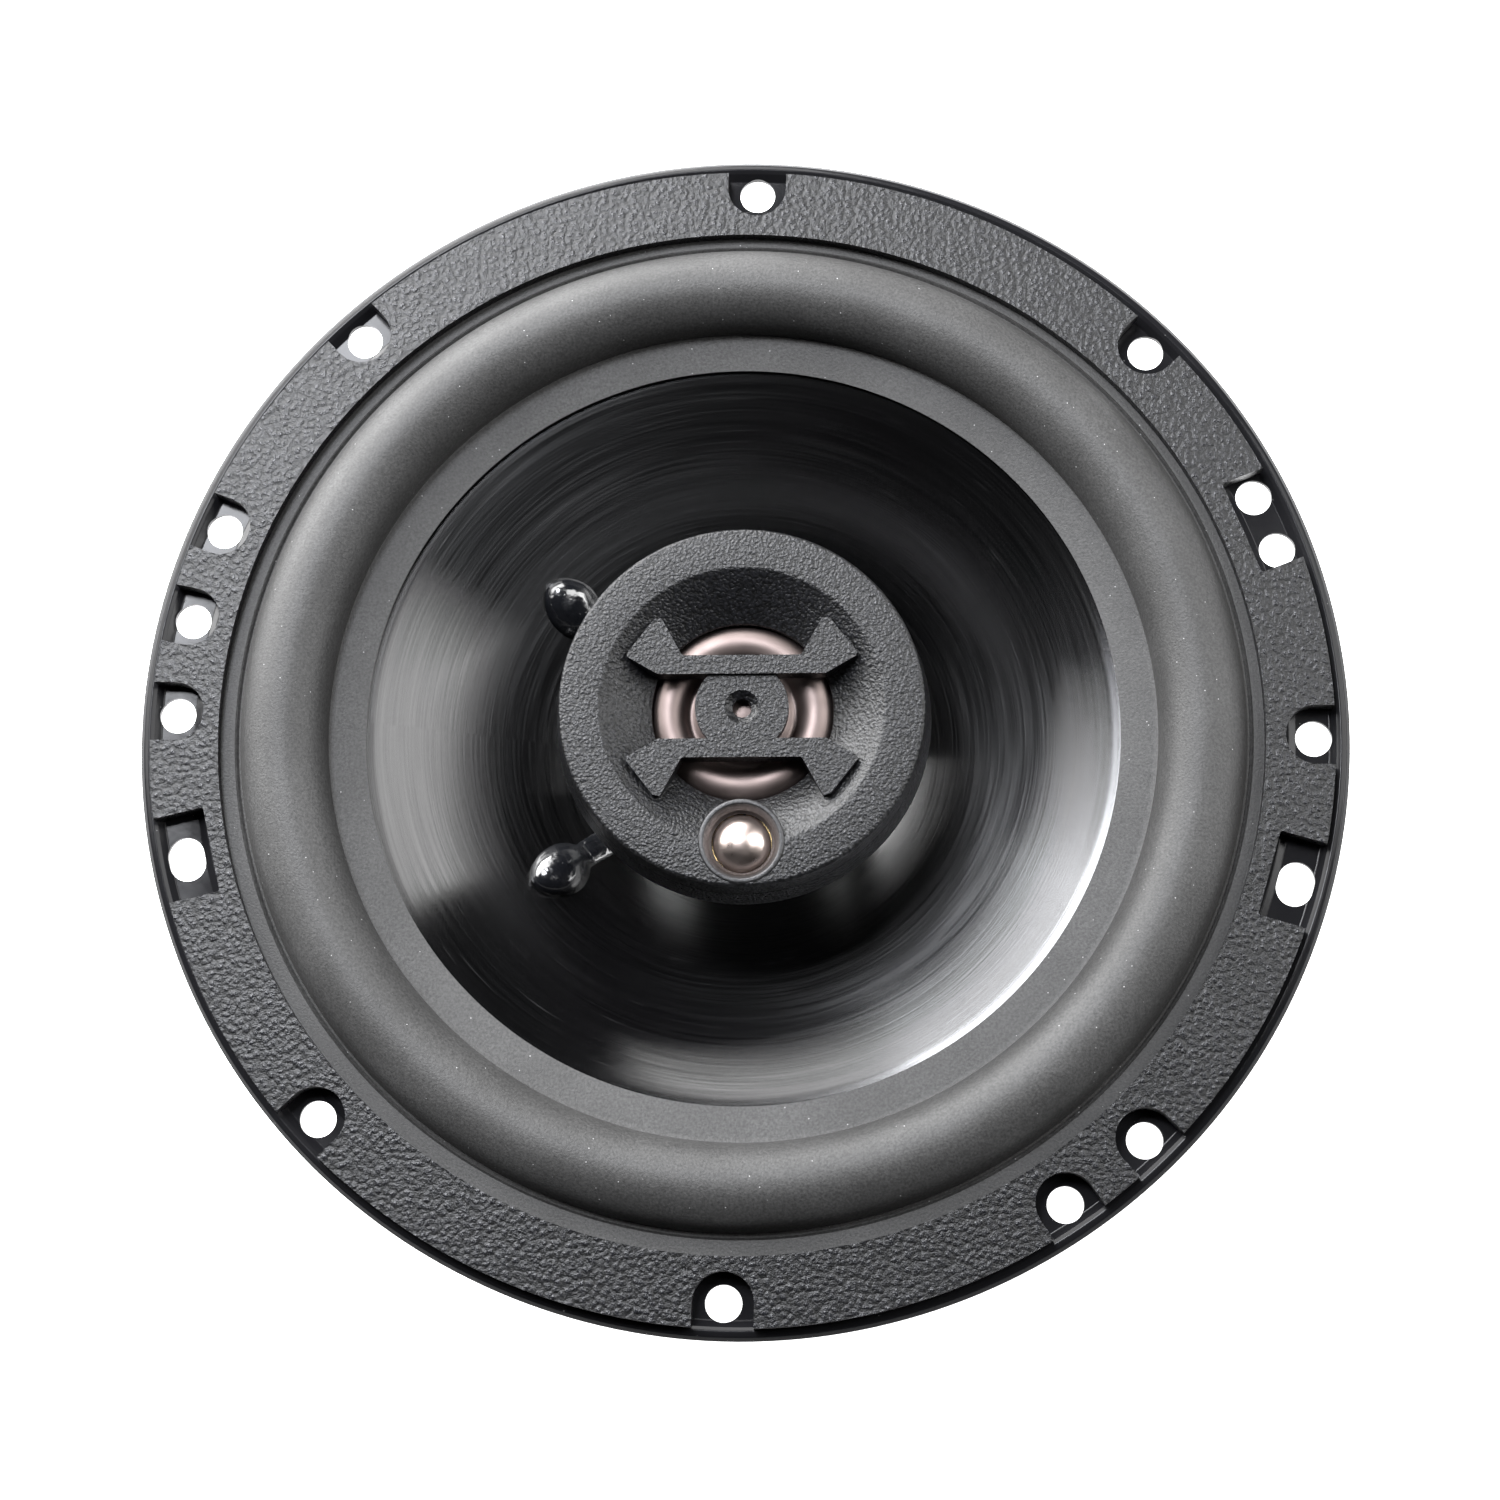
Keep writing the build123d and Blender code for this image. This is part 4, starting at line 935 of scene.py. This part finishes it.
def pod_bezel():
    """The pod's front: a flat textured ring, a dish, and two winged bars that hold a centre disc."""
    outline = rounded(
        [
            (19.35, POD_TOP),
            (POD_R, POD_TOP),
            (POD_R + 0.25, POD_SPLIT),
            (23.6, POD_SPLIT),
            (23.4, 11.9),
            (19.9, 11.9),
            (14.6, 9.2),
            (14.6, 8.4),
            (12.4, 8.4),
            (12.4, 9.4),
        ],
        [1.0, 0.5, 0.1, 0.1, 0.3, 0.3, 0.2, 0, 0.15, 0.2],
        steps=5,
    )
    piece = lathe("pod_front", outline, POD_CENTRE, 192)
    disc = lathe(
        "disc",
        [(0, 10.5), (6.35, 10.5), (6.35, 12.5), (0, 12.5)],
        POD_CENTRE,
        96,
    )
    combine(piece, [wing_bar(1), wing_bar(-1), disc], "UNION")
    sink = lathe("sink", [(0, 9), (1.3, 9), (1.3, 11.6), (2.3, 12.35), (2.5, 13), (0, 13)], POD_CENTRE, 64)
    socket = prism("socket", circle(SUPER_R, SUPER_CENTRE, 96), 8, 15)
    combine(piece, [sink, socket], "DIFFERENCE")
    return soften(piece, 0.26, 3, 40)


stand_for(pod_bezel(), "pod_bezel")


def tweeter_diaphragm():
    """The tweeter's film: a dome inside the coil and a half roll around it."""
    dome = arc((-3.8, 9.15), (0, 9.75), (3.8, 9.15), 40)[20:]
    skirt = arc((3.8, 9.15), (5.4, 8.6), (6.6, 7.9), 10)[1:]
    trough = [(6.9, 7.72), (7.2, 7.7), (7.5, 7.8)]
    roll = arc((7.5, 7.8), (10.1, 9.3), (12.6, 7.8), 32)[1:]
    path = dome + skirt + trough + roll + [(13.6, 7.8)]
    path[0] = (0, path[0][1])
    outline = thickened(path, 0.12)
    outline[-1] = (0, outline[-1][1])
    piece = lathe("tweeter_film", outline, POD_CENTRE, 144, sharp=60)
    return flex(piece, "tweeter", inward(7.0, 12.6, POD_CENTRE))


stand_for(tweeter_diaphragm(), "tweeter_diaphragm")


def super_bezel():
    """The super tweeter's ring: a rolled lip around a tapered throat."""
    outline = rounded(
        [
            (SUPER_R, 9.6),
            (SUPER_R, 13.5),
            (5.15, 13.5),
            (4.45, 12.1),
            (4.05, 11.8),
            (4.05, 11.5),
            (4.95, 11.5),
            (4.95, 9.6),
        ],
        [0, 0.3, 0.22, 0.5, 0.1, 0, 0, 0],
        steps=6,
    )
    return lathe("super_tweeter_ring", outline, SUPER_CENTRE, 96)


stand_for(super_bezel(), "super_tweeter_bezel")


def super_dome():
    crown = arc((-3.95, 11.5), (0, 13.3), (3.95, 11.5), 48)[24:]
    crown[0] = (0, crown[0][1])
    outline = thickened(crown, 0.2)
    outline[-1] = (0, outline[-1][1])
    return lathe("super_tweeter_cap", outline, SUPER_CENTRE, 96, sharp=60)


stand_for(super_dome(), "super_tweeter_dome", DOME_LOOK)

# ---- Motor ------------------------------------------------------------------------------------------
for node, width in (
    ("top_plate", 0.35),
    ("yoke", 0.3),
    ("terminal_board", 0.2),
    ("terminal_positive", 0.12),
    ("terminal_negative", 0.12),
    ("tweeter_pot", 0.2),
):
    soften(frame["nodes"][node], width, 2, 40)


# ---- Floor, light and camera --------------------------------------------------------------------------
def floor():
    look = Look("pale_floor", (0.86, 0.86, 0.86), 0.9)
    look.link(look.mix(look.noise(120, 2), (0.86, 0.86, 0.86), (0.88, 0.88, 0.88)), "Base Color")
    look.shader.inputs["Emission Color"].default_value = (1, 1, 1, 1)
    look.shader.inputs["Emission Strength"].default_value = 1.1
    bm = bmesh.new()
    side = 3000
    corners = ((-side, -side), (side, -side), (side, side), (-side, side))
    bm.faces.new([bm.verts.new((x, y, FLOOR_Z)) for x, y in corners])
    piece = finish_mesh("floor", bm)
    wear(piece, look.material)


def softbox(name, azimuth, elevation, distance, width, height, radiance, colour=(1, 1, 1)):
    """A rectangular light that faces the speaker, from an azimuth and elevation in degrees."""
    light = bpy.data.lights.new(name, "AREA")
    light.shape = "RECTANGLE"
    light.size, light.size_y = width, height
    light.energy = radiance * pi * width * height
    light.color = colour
    holder = bpy.data.objects.new(name, light)
    bpy.context.collection.objects.link(holder)
    towards = Vector(polar(cos(radians(elevation)), azimuth, sin(radians(elevation))))
    holder.location = towards * distance
    holder.rotation_euler = towards.to_track_quat("Z", "Y").to_euler()


def world(camera_shade, light_shade):
    """A pale backdrop that lights the speaker only weakly, so that gloss black stays black."""
    surroundings = bpy.data.worlds.new("studio")
    bpy.context.scene.world = surroundings
    surroundings.use_nodes = True
    tree = surroundings.node_tree
    tree.nodes.clear()
    seen = tree.nodes.new("ShaderNodeBackground")
    seen.inputs["Color"].default_value = (camera_shade,) * 3 + (1,)
    lit = tree.nodes.new("ShaderNodeBackground")
    lit.inputs["Color"].default_value = (light_shade,) * 3 + (1,)
    path = tree.nodes.new("ShaderNodeLightPath")
    mix = tree.nodes.new("ShaderNodeMixShader")
    output = tree.nodes.new("ShaderNodeOutputWorld")
    tree.links.new(path.outputs["Is Camera Ray"], mix.inputs[0])
    tree.links.new(lit.outputs[0], mix.inputs[1])
    tree.links.new(seen.outputs[0], mix.inputs[2])
    tree.links.new(mix.outputs[0], output.inputs[0])


def camera():
    """Nearly square on to the cone, from a little below it and to the right."""
    tilt, azimuth, roll = radians(13.54), radians(9.46) + POD_TURN, radians(0.12) + POD_TURN
    distance, rim_top = 0.441, 1.2 * MM
    eye = bpy.data.cameras.new("photo_camera")
    eye.sensor_width = 36
    eye.lens = 76.2
    eye.shift_x, eye.shift_y = 0.0058, -0.0156
    eye.clip_start = 0.01
    holder = bpy.data.objects.new("photo_camera", eye)
    bpy.context.collection.objects.link(holder)
    back = Vector((sin(tilt) * sin(azimuth), -sin(tilt) * cos(azimuth), cos(tilt)))
    up = Vector((-sin(roll), cos(roll), 0))
    right = up.cross(back).normalized()
    turn = Matrix((right, back.cross(right), back)).transposed().to_4x4()
    holder.matrix_world = Matrix.Translation(back * distance + Vector((0, 0, rim_top))) @ turn
    bpy.context.scene.camera = holder


camera()
floor()
softbox("key_low", 130, 17, 0.85, 1.1, 0.24, 29)
softbox("key", 128, 39, 0.85, 1.22, 0.36, 9.5)
softbox("side", 27, 50, 0.85, 0.46, 0.5, 7)
softbox("side_low", 12, 22, 0.85, 0.5, 0.3, 9)
softbox("overhead", 124, 64, 0.9, 0.24, 0.28, 46, (0.93, 0.95, 1.0))
world(1.0, 0.012)
bpy.context.scene.view_settings.view_transform = "Standard"
